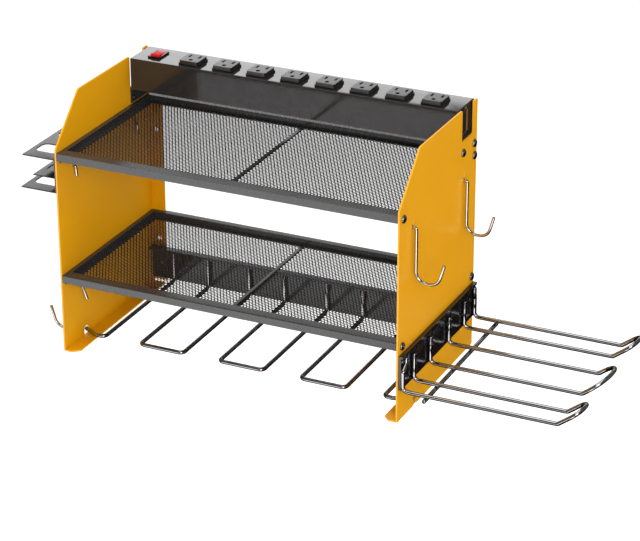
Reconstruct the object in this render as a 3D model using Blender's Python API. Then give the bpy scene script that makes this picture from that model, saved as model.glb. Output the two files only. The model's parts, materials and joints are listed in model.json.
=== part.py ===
"""Wall rack for cordless tools, modelled as the separate pieces it is bolted together from.

+X is the rack's right side seen from the front, +Y points into the wall and +Z is up. Every
height below is measured from the lower edge of the side panels; the whole rack then hangs
from one empty, which brings the middle of the upper shelf's rear lip to the world origin.
"""

import math

import bmesh
import bpy
from mathutils import Vector

for old_object in list(bpy.data.objects):
    bpy.data.objects.remove(old_object, do_unlink=True)

# Overall sizes, in metres
OVERALL_WIDTH = 0.430
DEPTH = 0.222
PANEL_HEIGHT = 0.312
CLEARANCE = 0.0003
CUT_OVERRUN = 0.002

# Side panels: folded sheet steel
PANEL_SHEET = 0.002
TOP_SETBACK = 0.056
BOTTOM_FLANGE_WIDTH = 0.0185
BOTTOM_FLANGE_CORNER = 0.008
REAR_FLANGE_WIDTH = 0.020
BEND_RELIEF = 0.004
REAR_TAB_DEPTH = 0.011
NOTCH_LENGTH = 0.0345
NOTCH_DEPTH = 0.039
PANEL_CORNER_RADIUS = 0.002
WALL_HOLE_RADIUS = 0.00275
WALL_HOLE_SHARES = (60 / 312, 205 / 312)

# Slots that the hooks hang in
WIRE_RADIUS = 0.0018
SLOT_SIDE_CLEARANCE = 0.0002
SLOT_HEIGHT = 0.012
FRONT_SLOT_INSET = 0.0375
REAR_SLOT_INSET = 0.037
UPPER_SLOT_DROP = 0.030
LOWER_SLOT_DROP = 0.0253

# Shelves: sunk trays of sheet steel with an expanded metal floor
UPPER_SHELF_INSET = 0.060
LOWER_SHELF_SHARE = 247 / 630
SHELF_SHEET = 0.0012
SHELF_LIP = 0.0095
FRONT_LEDGE = 0.014
SIDE_LEDGE = 0.006
REAR_LEDGE = 0.007
TRAY_SINK = 0.007
TRAY_BORDER = 0.0055
SIDE_FLANGE_DROP = 0.014
SIDE_FLANGE_INSET = 0.006
RIB_WIDTH = 0.004
RIB_RISE = 0.001
MESH_SHEET = 0.001
MESH_STRAND = 0.004
MESH_EDGE = 0.004
MESH_COLUMNS = 18
MESH_ROWS = 3

# Pan head screws
SCREW_HEAD_RADIUS = 0.005
SCREW_HEAD_HEIGHT = 0.003
SCREW_SHANK_RADIUS = 0.0024
SCREW_LENGTH = 0.0062
SMALL_HEAD_RADIUS = 0.0027
SMALL_HEAD_HEIGHT = 0.0020
SMALL_SHANK_RADIUS = 0.0017
# A pan head's outline, as (share of its radius, share of its height) from the crown down
HEAD_CROWN = ((0, 1), (0.45, 0.94), (0.85, 0.62), (1, 0.25))
SCREW_HOLE_CLEARANCE = 0.0004
SHELF_SCREW_DROP = 0.0075
SHELF_SCREW_FRONT_INSET = 0.0105
SHELF_SCREW_REAR_INSET = 0.0075

# Power strip
STRIP_DEPTH = 0.0475
STRIP_WALL_GAP = 0.0008
STRIP_TOP_INSET = 0.0008
STRIP_HEIGHT = 0.0397
STRIP_SHEET = 0.0015
STRIP_END_GAP = 0.0005
STRIP_TAB_DROP = 0.0180
STRIP_SCREW_DROP = 0.0118
STRIP_SCREW_FRONT_INSET = 0.042
STRIP_SCREW_REAR_INSET = 0.0085
CAP_THICKNESS = 0.0015
CAP_RECESS = 0.0012
CAP_PAD_MARGIN = 0.005
CAP_PAD_RISE = 0.0008
CAP_PAD_CORNER = 0.004

# Outlets
OUTLET_COUNT = 8
FIRST_OUTLET_INSET = 0.0795
LAST_OUTLET_INSET = 0.0397
OUTLET_CENTRE_Y = -0.0298
OUTLET_BASE_SIZE = (0.0268, 0.0272)
OUTLET_BASE_HEIGHT = 0.0022
OUTLET_FACE_SIZE = (0.0246, 0.0250)
OUTLET_RISE = 0.0054
OUTLET_BODY_SIZE = (0.0200, 0.0210)
OUTLET_BODY_DEPTH = 0.018
OUTLET_CORNER = 0.0015
BLADE_SPACING = 0.0127
BLADE_SLOT = (0.0021, 0.0078)
BLADE_OFFSET = 0.0055
GROUND_RADIUS = 0.0024
GROUND_OFFSET = 0.0064
SOCKET_DEPTH = 0.014

# Switch
SWITCH_INSET = 0.0305
SWITCH_CENTRE_Y = -0.0255
BEZEL_WALL = 0.0012
BEZEL_RIM = 0.0009
BEZEL_HEIGHT = 0.0022
BEZEL_BODY_DEPTH = 0.014
ROCKER_WIDTH = 0.0112
ROCKER_HALF_LENGTH = 0.0092
ROCKER_END_RISE = 0.0034
ROCKER_MIDDLE_RISE = 0.0022
ROCKER_DROP = 0.0050
ROCKER_END_DROP = 0.0020
PIVOT_DEPTH = 0.0035
ROCKER_PIVOT_RISE = 0.0002
ROCKER_TILT_DEG = 8.0
ROCKER_END_CLEARANCE = 0.0009
ROCKER_SIDE_CLEARANCE = 0.0004
PIVOT_PIN_RADIUS = 0.0010
PIVOT_PIN_REACH = 0.0010

# Supply inlet and bus bars
GLAND_FLANGE_RADIUS = 0.0075
GLAND_FLANGE_THICKNESS = 0.0018
GLAND_BARREL_RADIUS = 0.0055
GLAND_BORE_RADIUS = 0.0027
GLAND_LENGTH = 0.009
GLAND_DROP = 0.016
BUS_BAR_SIZE = (0.0045, 0.0010)
BUS_BAR_PITCH = 0.0060
BUS_BAR_OVERHANG = 0.008

# J hooks and hangers, all bent from the same wire
HOOK_SEAT_GAP = 0.0006
HOOK_SHANK_OFFSET = 0.0044
HOOK_TAIL_OFFSET = 0.0027
HOOK_TAIL_LENGTH = 0.0235
HOOK_TAIL_LEAN_DEG = 20.0
HOOK_BEND_RADIUS = 0.003
HOOK_DROP = 0.0654
HOOK_TOE_OFFSET = 0.0305
HOOK_TIP_OFFSET = 0.0380
HOOK_TIP_DROP = 0.0394
HOOK_THROAT_RADIUS = 0.013
HANGER_LEG_HEIGHT = 0.014
HANGER_TAIL_LENGTH = 0.014
HANGER_TAIL_LEAN_DEG = 5.0

# Rods of the drill racks
ROD_RADIUS = 0.0025
ROD_BEND_RADIUS = 0.006
RACK_SHEET = 0.003
UNDER_TOP_FLANGE = 0.008
SIDE_TOP_FLANGE = 0.0021
RACK_PLATE_HEIGHT = 0.042

# Side drill rack, outside the right panel
SIDE_RACK_DROP = 0.0583
SIDE_ROD_RISE = 0.0003
SIDE_RACK_END_GAP = 0.0015
SIDE_CENTRE_SHARE = 115 / 222
SIDE_SLOT_SHARE = 47 / 222
SIDE_WIDE_SHARE = 55 / 222
SIDE_NARROW_SHARE = 63 / 444
SIDE_REACH = 0.1887
TIP_LENGTH = 0.0316
TIP_RISE_DEG = 37.0
TIP_CORNER_SHARE = 0.46
TIP_LENGTH_SHARE = 0.8
CROSS_ROD_REACH = 0.033
CROSS_ROD_OVERHANG = 0.005
EMBOSS_MARGIN = 0.010
EMBOSS_HEIGHT = 0.030
EMBOSS_LOW_HEIGHT = 0.021
EMBOSS_DEPTH = 0.0008
EMBOSS_CORNER = 0.003
EMBOSS_BOTTOM_MARGIN = 0.0060
SIDE_SCREW_INSET = 0.0031
SIDE_SCREW_RISE = 0.0350
LEG_LEAN_HEIGHT = 0.0080
SIDE_LEG_HEIGHT = 0.0337

# Drill rack under the lower shelf
UNDER_ROD_HEIGHT = 0.0085
UNDER_FRONT_INSET = 0.039
UNDER_PITCH_SHARE = 105 / 430
UNDER_LOOP_SHARE = 57 / 430
UNDER_LOOPS = 3
UNDER_SCREW_INSET = 0.0135
UNDER_SCREW_HEIGHT = 0.030
SLANT_START_SHARE = 0.4
SLANT_SETBACK = 0.0115
SLANT_BEND_RADIUS = 0.012
LOW_NOTCH_TOP_GAP = 0.0008
LOW_NOTCH_SIDE_GAP = 0.0025

# Tool rack outside the left panel
TOOL_SHEET = 0.0015
TOOL_REAR_INSET = 0.014
TOOL_TIER_DROPS = (0.1086, 0.0905, 0.0680)
TOOL_TIER_REACHES = (0.0470, 0.0300, 0.0434)
TOOL_SLOT_WIDTH = 0.024
TOOL_SLOT_MARGIN = 0.006
TOOL_SLOT_CORNER = 0.006
TOOL_STATIONS = 4
TOOL_END_MARGIN = 0.004
SCREW_RELIEF_RADIUS = 0.0062
SCREW_RELIEF_DEPTH = 0.0036

# Counts that set how finely round shapes are drawn
ARC_STEPS = 3
ROD_ARC_STEPS = 4
SCREW_SIDES = 12
HOLE_SIDES = 12
ROD_BEVEL_STEPS = 2
STRAIGHT_SHARE = 0.001
SAME_POINT_SHARE = 0.001
WELD_DISTANCE = 0.00001
SMOOTH_BELOW = math.radians(35)

# Places that follow from the sizes above
PANEL_OUTER_X = OVERALL_WIDTH / 2
PANEL_INNER_X = PANEL_OUTER_X - PANEL_SHEET
PANEL_FRONT_HEIGHT = PANEL_HEIGHT - TOP_SETBACK
WALL_HOLE_HEIGHTS = tuple(share * PANEL_HEIGHT for share in WALL_HOLE_SHARES)
UPPER_SHELF_TOP = PANEL_HEIGHT - UPPER_SHELF_INSET
LOWER_SHELF_TOP = UPPER_SHELF_TOP * LOWER_SHELF_SHARE
UPPER_SLOT_BOTTOM = UPPER_SHELF_TOP - UPPER_SLOT_DROP
LOWER_SLOT_BOTTOM = LOWER_SHELF_TOP - LOWER_SLOT_DROP
MOUNT_HEIGHT = UPPER_SHELF_TOP - SHELF_LIP / 2
NOTCH_FLOOR = PANEL_HEIGHT - NOTCH_DEPTH
FRONT_SLOT_Y = -DEPTH + FRONT_SLOT_INSET
REAR_SLOT_Y = -REAR_SLOT_INSET
SLOT_WIDTH = 2 * (WIRE_RADIUS + SLOT_SIDE_CLEARANCE)
SHELF_HALF_WIDTH = PANEL_INNER_X - CLEARANCE
SHELF_REAR_Y = -(PANEL_SHEET + CLEARANCE)
SCREW_HOLE_RADIUS = SCREW_SHANK_RADIUS + SCREW_HOLE_CLEARANCE
SMALL_HOLE_RADIUS = SMALL_SHANK_RADIUS + SCREW_HOLE_CLEARANCE
SHELF_SCREW_YS = (-DEPTH + SHELF_SCREW_FRONT_INSET, -SHELF_SCREW_REAR_INSET)
STRIP_SCREW_YS = (-STRIP_SCREW_FRONT_INSET, -STRIP_SCREW_REAR_INSET)
STRIP_TOP = PANEL_HEIGHT - STRIP_TOP_INSET
STRIP_BOTTOM = STRIP_TOP - STRIP_HEIGHT
STRIP_TAB_BOTTOM = STRIP_BOTTOM - STRIP_TAB_DROP
STRIP_SCREW_HEIGHT = STRIP_BOTTOM - STRIP_SCREW_DROP
STRIP_REAR_Y = -STRIP_WALL_GAP
STRIP_FRONT_Y = STRIP_REAR_Y - STRIP_DEPTH
TAB_OUTER_X = PANEL_INNER_X - CLEARANCE
TAB_INNER_X = TAB_OUTER_X - STRIP_SHEET
STRIP_HALF_LENGTH = TAB_INNER_X - STRIP_END_GAP
FIRST_OUTLET_X = -PANEL_OUTER_X + FIRST_OUTLET_INSET
OUTLET_PITCH = (OVERALL_WIDTH - FIRST_OUTLET_INSET - LAST_OUTLET_INSET) / (OUTLET_COUNT - 1)
SWITCH_X = -PANEL_OUTER_X + SWITCH_INSET
UNDER_FRONT_Y = -DEPTH + UNDER_FRONT_INSET
LOW_NOTCH_Y = UNDER_FRONT_Y + SLANT_SETBACK
LOW_NOTCH_TOP = UNDER_ROD_HEIGHT + ROD_RADIUS + LOW_NOTCH_TOP_GAP
UNDER_PITCH = OVERALL_WIDTH * UNDER_PITCH_SHARE
UNDER_LOOP_WIDTH = OVERALL_WIDTH * UNDER_LOOP_SHARE
SIDE_RACK_BOTTOM = LOWER_SHELF_TOP - SIDE_RACK_DROP
SIDE_ROD_HEIGHT = SIDE_RACK_BOTTOM + SIDE_ROD_RISE
SIDE_SCREW_HEIGHT = SIDE_RACK_BOTTOM + SIDE_SCREW_RISE
SIDE_RACK_CENTRE_Y = -DEPTH * SIDE_CENTRE_SHARE
SIDE_SLOT_PITCH = DEPTH * SIDE_SLOT_SHARE
SIDE_WIDE_LOOP = DEPTH * SIDE_WIDE_SHARE
SIDE_NARROW_LOOP = DEPTH * SIDE_NARROW_SHARE
SIDE_PLATE_YS = (-DEPTH + SIDE_RACK_END_GAP, -SIDE_RACK_END_GAP)
RACK_FACE = CLEARANCE + RACK_SHEET
ROD_STAND = RACK_FACE + CLEARANCE + ROD_RADIUS
TOOL_WEB_X = PANEL_OUTER_X + CLEARANCE + TOOL_SHEET
TOOL_TIER_HEIGHTS = tuple(PANEL_HEIGHT - drop for drop in TOOL_TIER_DROPS)
TOOL_STATION_PITCH = (DEPTH - TOOL_REAR_INSET - 2 * TOOL_END_MARGIN) / TOOL_STATIONS
BEZEL_HOLE = (ROCKER_WIDTH + 2 * ROCKER_SIDE_CLEARANCE, 2 * (ROCKER_HALF_LENGTH + ROCKER_END_CLEARANCE))
BEZEL_BODY_SIZE = tuple(size + 2 * BEZEL_WALL for size in BEZEL_HOLE)
BEZEL_SIZE = tuple(size + 2 * BEZEL_RIM for size in BEZEL_BODY_SIZE)


# Materials
def material(name, colour, roughness, metallic):
    """A Principled material with a plain linear colour."""
    made = bpy.data.materials.new(name)
    made.use_nodes = True
    shader = made.node_tree.nodes["Principled BSDF"]
    shader.inputs["Base Color"].default_value = (*colour, 1.0)
    shader.inputs["Roughness"].default_value = roughness
    shader.inputs["Metallic"].default_value = metallic
    return made


YELLOW_COAT = material("yellow_powder_coat", (0.80, 0.36, 0.012), 0.35, 0.0)
BLACK_COAT = material("black_gloss_coat", (0.012, 0.012, 0.013), 0.15, 0.0)
BLACK_PLASTIC = material("black_plastic", (0.015, 0.015, 0.016), 0.30, 0.0)
RED_PLASTIC = material("red_switch_plastic", (0.72, 0.010, 0.014), 0.22, 0.0)
CHROME = material("chrome_wire", (0.75, 0.75, 0.77), 0.08, 1.0)
DARK_CHROME = material("black_chrome_rod", (0.20, 0.20, 0.21), 0.12, 1.0)
ZINC = material("zinc_screw", (0.55, 0.56, 0.58), 0.25, 1.0)
BRASS = material("plain_brass", (0.72, 0.48, 0.16), 0.35, 1.0)

rack_origin = bpy.data.objects.new("rack_origin", None)
bpy.context.collection.objects.link(rack_origin)
rack_origin.location = (0, 0, -MOUNT_HEIGHT)


# Outlines in a plane
def rounded_polygon(corners, radius, steps=ARC_STEPS):
    """Replaces each corner of a closed outline by an arc that fits its two edges."""
    outline = []
    for index, corner in enumerate(corners):
        here = Vector(corner)
        before = Vector(corners[index - 1]) - here
        after = Vector(corners[(index + 1) % len(corners)]) - here
        half_angle = before.angle(after) / 2
        reach = min(radius / math.tan(half_angle), before.length / 2, after.length / 2)
        middle_distance = reach / math.cos(half_angle)
        centre = here + (before.normalized() + after.normalized()).normalized() * middle_distance
        start = here + before.normalized() * reach - centre
        end = here + after.normalized() * reach - centre
        heading = math.atan2(start.y, start.x)
        turn = math.remainder(math.atan2(end.y, end.x) - heading, math.tau)
        for step in range(steps + 1):
            spoke = heading + turn * step / steps
            outline.append(centre + Vector((math.cos(spoke), math.sin(spoke))) * start.length)
    # Where two arcs meet in one point, it is kept once.
    same = radius * SAME_POINT_SHARE
    return [tuple(point) for index, point in enumerate(outline) if (point - outline[index - 1]).length > same]


def rectangle(centre, size):
    """The four corners of a rectangle."""
    half_u, half_v = size[0] / 2, size[1] / 2
    return [(centre[0] - half_u, centre[1] - half_v), (centre[0] + half_u, centre[1] - half_v),
            (centre[0] + half_u, centre[1] + half_v), (centre[0] - half_u, centre[1] + half_v)]


def circle(centre, radius, sides=HOLE_SIDES):
    """A regular polygon round a centre."""
    return [(centre[0] + radius * math.cos(math.tau * step / sides),
             centre[1] + radius * math.sin(math.tau * step / sides)) for step in range(sides)]


def upright_slot(centre_u, bottom_v, width, height):
    """A slot with round ends, standing on its bottom end."""
    corners = rectangle((centre_u, bottom_v + height / 2), (width, height))
    return rounded_polygon(corners, width / 2)


# Solids
AXES = {"X": ((0, 1, 0), (0, 0, 1), (1, 0, 0)), "Y": ((1, 0, 0), (0, 0, 1), (0, 1, 0)),
        "Z": ((1, 0, 0), (0, 1, 0), (0, 0, 1))}


def plate(shape, outline, along, start, end, holes=()):
    """Adds a plate, its outline drawn square to an axis, running from start to end along it."""
    u_axis, v_axis, w_axis = (Vector(axis) for axis in AXES[along])
    edges = []
    for loop in (outline, *holes):
        points = [shape.verts.new(u_axis * u + v_axis * v + w_axis * start) for u, v in loop]
        edges += [shape.edges.new((points[index - 1], points[index])) for index in range(len(points))]
    filled = bmesh.ops.triangle_fill(shape, use_beauty=True, use_dissolve=False, edges=edges, normal=w_axis)
    faces = [item for item in filled["geom"] if isinstance(item, bmesh.types.BMFace)]
    raised = bmesh.ops.extrude_face_region(shape, geom=faces, use_keep_orig=True)
    moved = [item for item in raised["geom"] if isinstance(item, bmesh.types.BMVert)]
    bmesh.ops.translate(shape, verts=moved, vec=w_axis * (end - start))


def block(shape, low, high):
    """Adds a box between two opposite corners, whichever way round they are given."""
    bottom = [min(a, b) for a, b in zip(low, high)]
    top = [max(a, b) for a, b in zip(low, high)]
    corners = [(bottom[0], bottom[1]), (top[0], bottom[1]), (top[0], top[1]), (bottom[0], top[1])]
    plate(shape, corners, "Z", bottom[2], top[2])


def turned(shape, profile, centre, along, sides):
    """Adds a solid of revolution; the profile is (radius, distance along the axis), end to end."""
    u_axis, v_axis, w_axis = (Vector(axis) for axis in AXES[along])
    rings = []
    for radius, distance in profile:
        middle = Vector(centre) + w_axis * distance
        if radius == 0:
            rings.append([shape.verts.new(middle)])
            continue
        ring = []
        for step in range(sides):
            spoke = math.tau * step / sides
            outward = u_axis * math.cos(spoke) + v_axis * math.sin(spoke)
            ring.append(shape.verts.new(middle + outward * radius))
        rings.append(ring)
    for ring, following in zip(rings, rings[1:]):
        for index in range(sides):
            corners = [ring[index % len(ring)], ring[(index + 1) % len(ring)],
                       following[(index + 1) % len(following)], following[index % len(following)]]
            shape.faces.new(list(dict.fromkeys(corners)))


def fill_between(shape, loops, normal):
    """Fills a flat outline, leaving the other loops inside it open."""
    edges = []
    for loop in loops:
        for index in range(len(loop)):
            pair = (loop[index - 1], loop[index])
            edges.append(shape.edges.get(pair) or shape.edges.new(pair))
    bmesh.ops.triangle_fill(shape, use_beauty=True, use_dissolve=False, edges=edges, normal=normal)


def wall_between(shape, first, second):
    """Joins two rings of the same number of points by a band of faces."""
    for index in range(len(first)):
        shape.faces.new((first[index - 1], first[index], second[index], second[index - 1]))


def new_shape():
    """An empty shape that the functions above add to."""
    return bmesh.new()


def finished_mesh(shape, name, smooth=False):
    """Turns a shape into a mesh with its faces pointing out."""
    bmesh.ops.recalc_face_normals(shape, faces=shape.faces)
    mesh = bpy.data.meshes.new(name)
    shape.to_mesh(mesh)
    shape.free()
    if smooth:
        mesh.shade_smooth()
        mesh.set_sharp_from_angle(angle=SMOOTH_BELOW)
    return mesh


def piece(name, data, finish, location=(0, 0, 0), turn=(0, 0, 0)):
    """Makes one named piece of the rack from a mesh or a curve."""
    made = bpy.data.objects.new(name, data)
    bpy.context.collection.objects.link(made)
    made.parent = rack_origin
    made.location = location
    made.rotation_euler = turn
    if not data.materials:
        data.materials.append(finish)
    return made


def combine(target, shape, operation):
    """Joins a shape to a piece or cuts it away; the shape stays as a hidden guide."""
    mesh = finished_mesh(shape, target.name + "_guide")
    guide = bpy.data.objects.new(target.name + "_" + operation.lower(), mesh)
    bpy.context.collection.objects.link(guide)
    guide.parent = rack_origin
    guide.hide_render = True
    guide.display_type = "WIRE"
    step = target.modifiers.new(operation.lower(), "BOOLEAN")
    step.operation = operation
    step.solver = "EXACT"
    step.object = guide


# Bent wire and rod
def bent_path(corners, radii, steps=ROD_ARC_STEPS):
    """Rounds the inner corners of an open path in space, each to its own radius."""
    path = [Vector(corners[0])]
    for before, here, after, radius in zip(corners, corners[1:], corners[2:], radii):
        here = Vector(here)
        back = (Vector(before) - here)
        ahead = (Vector(after) - here)
        half_angle = back.angle(ahead) / 2
        if math.cos(half_angle) < STRAIGHT_SHARE:
            path.append(here)
            continue
        reach = radius / math.tan(half_angle)
        start = here + back.normalized() * reach
        end = here + ahead.normalized() * reach
        middle = here + (back.normalized() + ahead.normalized()).normalized() * radius / math.sin(half_angle)
        first, last = start - middle, end - middle
        sweep = first.angle(last)
        for step in range(steps + 1):
            share = step / steps
            spoke = (first * math.sin((1 - share) * sweep) + last * math.sin(share * sweep)) / math.sin(sweep)
            path.append(middle + spoke)
    path.append(Vector(corners[-1]))
    return path


def rod(name, path, radius, finish, origin=(0, 0, 0)):
    """A round rod along a path, with flat ends."""
    curve = bpy.data.curves.new(name, "CURVE")
    curve.dimensions = "3D"
    curve.bevel_depth = radius
    curve.bevel_resolution = ROD_BEVEL_STEPS
    curve.use_fill_caps = True
    line = curve.splines.new("POLY")
    line.points.add(len(path) - 1)
    for point, place in zip(line.points, path):
        point.co = (*(Vector(place) - Vector(origin)), 1.0)
    return piece(name, curve, finish, location=origin)


# Side panels
def side_panel(name, side):
    """One folded side panel; side is 1 on the right and -1 on the left."""
    outer, inner = side * PANEL_OUTER_X, side * PANEL_INNER_X
    outline = rounded_polygon([
        (-DEPTH, 0), (0, 0), (0, PANEL_HEIGHT), (-REAR_TAB_DEPTH, PANEL_HEIGHT),
        (-REAR_TAB_DEPTH, NOTCH_FLOOR), (-REAR_TAB_DEPTH - NOTCH_LENGTH, NOTCH_FLOOR),
        (-REAR_TAB_DEPTH - NOTCH_LENGTH, PANEL_HEIGHT), (-DEPTH + TOP_SETBACK, PANEL_HEIGHT),
        (-DEPTH, PANEL_FRONT_HEIGHT)], PANEL_CORNER_RADIUS, 2)
    holes = []
    for slot_y in (FRONT_SLOT_Y, REAR_SLOT_Y):
        holes.append(upright_slot(slot_y, UPPER_SLOT_BOTTOM, SLOT_WIDTH, SLOT_HEIGHT))
        holes.append(upright_slot(slot_y, LOWER_SLOT_BOTTOM, SLOT_WIDTH, SLOT_HEIGHT))
    for shelf_top in (UPPER_SHELF_TOP, LOWER_SHELF_TOP):
        hole_height = shelf_top - SHELF_SCREW_DROP
        holes += [circle((hole_y, hole_height), SCREW_HOLE_RADIUS) for hole_y in SHELF_SCREW_YS]
    holes += [circle((hole_y, STRIP_SCREW_HEIGHT), SCREW_HOLE_RADIUS) for hole_y in STRIP_SCREW_YS]
    if side > 0:
        holes += [circle((hole_y, SIDE_SCREW_HEIGHT), SMALL_HOLE_RADIUS) for hole_y in side_screw_ys()]
    shape = new_shape()
    plate(shape, outline, "X", inner, outer, holes)
    panel = piece(name, finished_mesh(shape, name), YELLOW_COAT)

    # A notch in the lower edge takes the end of the lower rack's outermost rod.
    notch = new_shape()
    below = CUT_OVERRUN + PANEL_CORNER_RADIUS
    middle = (LOW_NOTCH_Y, (LOW_NOTCH_TOP - below) / 2)
    size = (2 * (ROD_RADIUS + LOW_NOTCH_SIDE_GAP), LOW_NOTCH_TOP + below)
    outline = rounded_polygon(rectangle(middle, size), PANEL_CORNER_RADIUS, 2)
    plate(notch, outline, "X", inner - side * CUT_OVERRUN, outer + side * CUT_OVERRUN)
    combine(panel, notch, "DIFFERENCE")

    # The bottom and rear flanges start inside the sheet's thickness, where they join it.
    join_x = outer - side * PANEL_SHEET / 2
    flange_edge = outer - side * BOTTOM_FLANGE_WIDTH
    flanges = new_shape()
    plate(flanges, [(join_x, -DEPTH + CLEARANCE), (join_x, -BEND_RELIEF), (flange_edge, -BEND_RELIEF),
                    (flange_edge, -DEPTH + BOTTOM_FLANGE_CORNER),
                    (flange_edge + side * BOTTOM_FLANGE_CORNER, -DEPTH + CLEARANCE)], "Z", 0, PANEL_SHEET)
    rear_edge = outer - side * REAR_FLANGE_WIDTH
    hole_x = (rear_edge + inner) / 2
    rear_holes = [circle((hole_x, hole_height), WALL_HOLE_RADIUS) for hole_height in WALL_HOLE_HEIGHTS]
    rear_holes.append(circle((side * under_screw_x(), UNDER_SCREW_HEIGHT), SMALL_HOLE_RADIUS))
    rear_top = STRIP_TAB_BOTTOM - BEND_RELIEF
    rear_outline = [(join_x, BEND_RELIEF), (rear_edge, BEND_RELIEF), (rear_edge, rear_top), (join_x, rear_top)]
    plate(flanges, rear_outline, "Y", -PANEL_SHEET, 0, rear_holes)
    combine(panel, flanges, "UNION")


def side_screw_ys():
    """Where the side rack's two screws sit along the depth."""
    return (SIDE_PLATE_YS[0] + SIDE_SCREW_INSET, SIDE_PLATE_YS[1] - SIDE_SCREW_INSET)


def under_screw_x():
    """Where the under rack's screws sit, between its end loops' legs."""
    return PANEL_INNER_X - UNDER_SCREW_INSET


side_panel("right_side_panel", 1)
side_panel("left_side_panel", -1)


# Shelves
def shelf_section(ledge):
    """A shelf edge's section as (inset from the edge, height below the top), for a ledge width."""
    floor = TRAY_SINK
    return [(0, SHELF_LIP), (0, 0), (ledge, 0), (ledge, floor), (ledge + TRAY_BORDER, floor),
            (ledge + TRAY_BORDER, floor + SHELF_SHEET), (ledge - SHELF_SHEET, floor + SHELF_SHEET),
            (ledge - SHELF_SHEET, SHELF_SHEET), (SHELF_SHEET, SHELF_SHEET), (SHELF_SHEET, SHELF_LIP)]


def shelf_frame(name, top):
    """One tray frame: the same section carried round the four sides, with mitred corners."""
    sections = [shelf_section(width) for width in (SIDE_LEDGE, FRONT_LEDGE, REAR_LEDGE)]
    shape = new_shape()
    rings = []
    for (side_in, drop), (front_in, _), (rear_in, _) in zip(*sections):
        half, front, rear = SHELF_HALF_WIDTH - side_in, -DEPTH + front_in, SHELF_REAR_Y - rear_in
        corners = [(-half, front), (half, front), (half, rear), (-half, rear)]
        rings.append([shape.verts.new((x, y, top - drop)) for x, y in corners])
    for ring, following in zip(rings, rings[1:] + rings[:1]):
        for index in range(len(ring)):
            shape.faces.new((ring[index - 1], ring[index], following[index], following[index - 1]))
    frame = piece(name, finished_mesh(shape, name), BLACK_COAT)

    # Side flanges for the screws, the rear lip that lies on the wall, and the middle rib
    extras = new_shape()
    for side in (1, -1):
        outer = side * SHELF_HALF_WIDTH
        block(extras, (outer, -DEPTH + SIDE_FLANGE_INSET, top - SIDE_FLANGE_DROP),
              (outer - side * SHELF_SHEET, SHELF_REAR_Y - SHELF_SHEET, top - SHELF_SHEET / 2))
    lip_half = PANEL_OUTER_X - REAR_FLANGE_WIDTH - CLEARANCE
    lip_corners = [(0, top - SHELF_LIP), (0, top), (SHELF_REAR_Y - SHELF_SHEET / 2, top),
                   (SHELF_REAR_Y - SHELF_SHEET / 2, top - SHELF_SHEET), (-SHELF_SHEET, top - SHELF_SHEET),
                   (-SHELF_SHEET, top - SHELF_LIP)]
    plate(extras, lip_corners, "X", -lip_half, lip_half)
    floor = top - TRAY_SINK
    rib_front = -DEPTH + FRONT_LEDGE + TRAY_BORDER / 2
    rib_rear = SHELF_REAR_Y - REAR_LEDGE - TRAY_BORDER / 2
    block(extras, (-RIB_WIDTH / 2, rib_front, floor - SHELF_SHEET),
          (RIB_WIDTH / 2, rib_rear, floor + RIB_RISE))
    combine(frame, extras, "UNION")

    holes = new_shape()
    for hole_y in SHELF_SCREW_YS:
        for side in (1, -1):
            start = side * (SHELF_HALF_WIDTH - SHELF_SHEET - CUT_OVERRUN)
            end = side * (SHELF_HALF_WIDTH + CUT_OVERRUN)
            plate(holes, circle((hole_y, top - SHELF_SCREW_DROP), SCREW_HOLE_RADIUS), "X", start, end)
    combine(frame, holes, "DIFFERENCE")


def shelf_mesh(name, top):
    """The expanded metal floor, drawn as a grid of long gaps between strands."""
    half = SHELF_HALF_WIDTH - SIDE_LEDGE
    front, rear = -DEPTH + FRONT_LEDGE, SHELF_REAR_Y - REAR_LEDGE
    upper = top - TRAY_SINK - SHELF_SHEET - CLEARANCE

    def stations(low, high, count):
        """Edge, gap, strand, gap and so on, from one edge to the other."""
        gap = (high - low - 2 * (MESH_EDGE + TRAY_BORDER) - (count - 1) * MESH_STRAND) / count
        places = [low]
        for index in range(count):
            start = low + MESH_EDGE + TRAY_BORDER + index * (gap + MESH_STRAND)
            places += [start, start + gap]
        return places + [high]

    xs = stations(-half, half, MESH_COLUMNS)
    ys = stations(front, rear, MESH_ROWS)
    shape = new_shape()
    levels = [[[shape.verts.new((x, y, z)) for y in ys] for x in xs] for z in (upper - MESH_SHEET, upper)]

    def is_gap(column, row):
        """Whether a cell of the grid is open."""
        inside = 0 < column < len(xs) - 2 and 0 < row < len(ys) - 2
        return inside and column % 2 == 1 and row % 2 == 1

    for column in range(len(xs) - 1):
        for row in range(len(ys) - 1):
            around = [(column, row), (column + 1, row), (column + 1, row + 1), (column, row + 1)]
            if not is_gap(column, row):
                for level in levels:
                    shape.faces.new([level[a][b] for a, b in around])
                continue
            for (a, b), (c, d) in zip(around, around[1:] + around[:1]):
                shape.faces.new((levels[0][a][b], levels[0][c][d], levels[1][c][d], levels[1][a][b]))
    last_x, last_y = len(xs) - 1, len(ys) - 1
    border = [(a, 0) for a in range(last_x + 1)] + [(last_x, b) for b in range(1, last_y + 1)]
    border += [(a, last_y) for a in range(last_x - 1, -1, -1)] + [(0, b) for b in range(last_y - 1, 0, -1)]
    for (a, b), (c, d) in zip(border, border[1:] + border[:1]):
        shape.faces.new((levels[0][a][b], levels[0][c][d], levels[1][c][d], levels[1][a][b]))
    piece(name, finished_mesh(shape, name), BLACK_COAT)


for shelf_name, shelf_top in (("upper_shelf", UPPER_SHELF_TOP), ("lower_shelf", LOWER_SHELF_TOP)):
    shelf_frame(shelf_name + "_frame", shelf_top)
    shelf_mesh(shelf_name + "_mesh", shelf_top)


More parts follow.
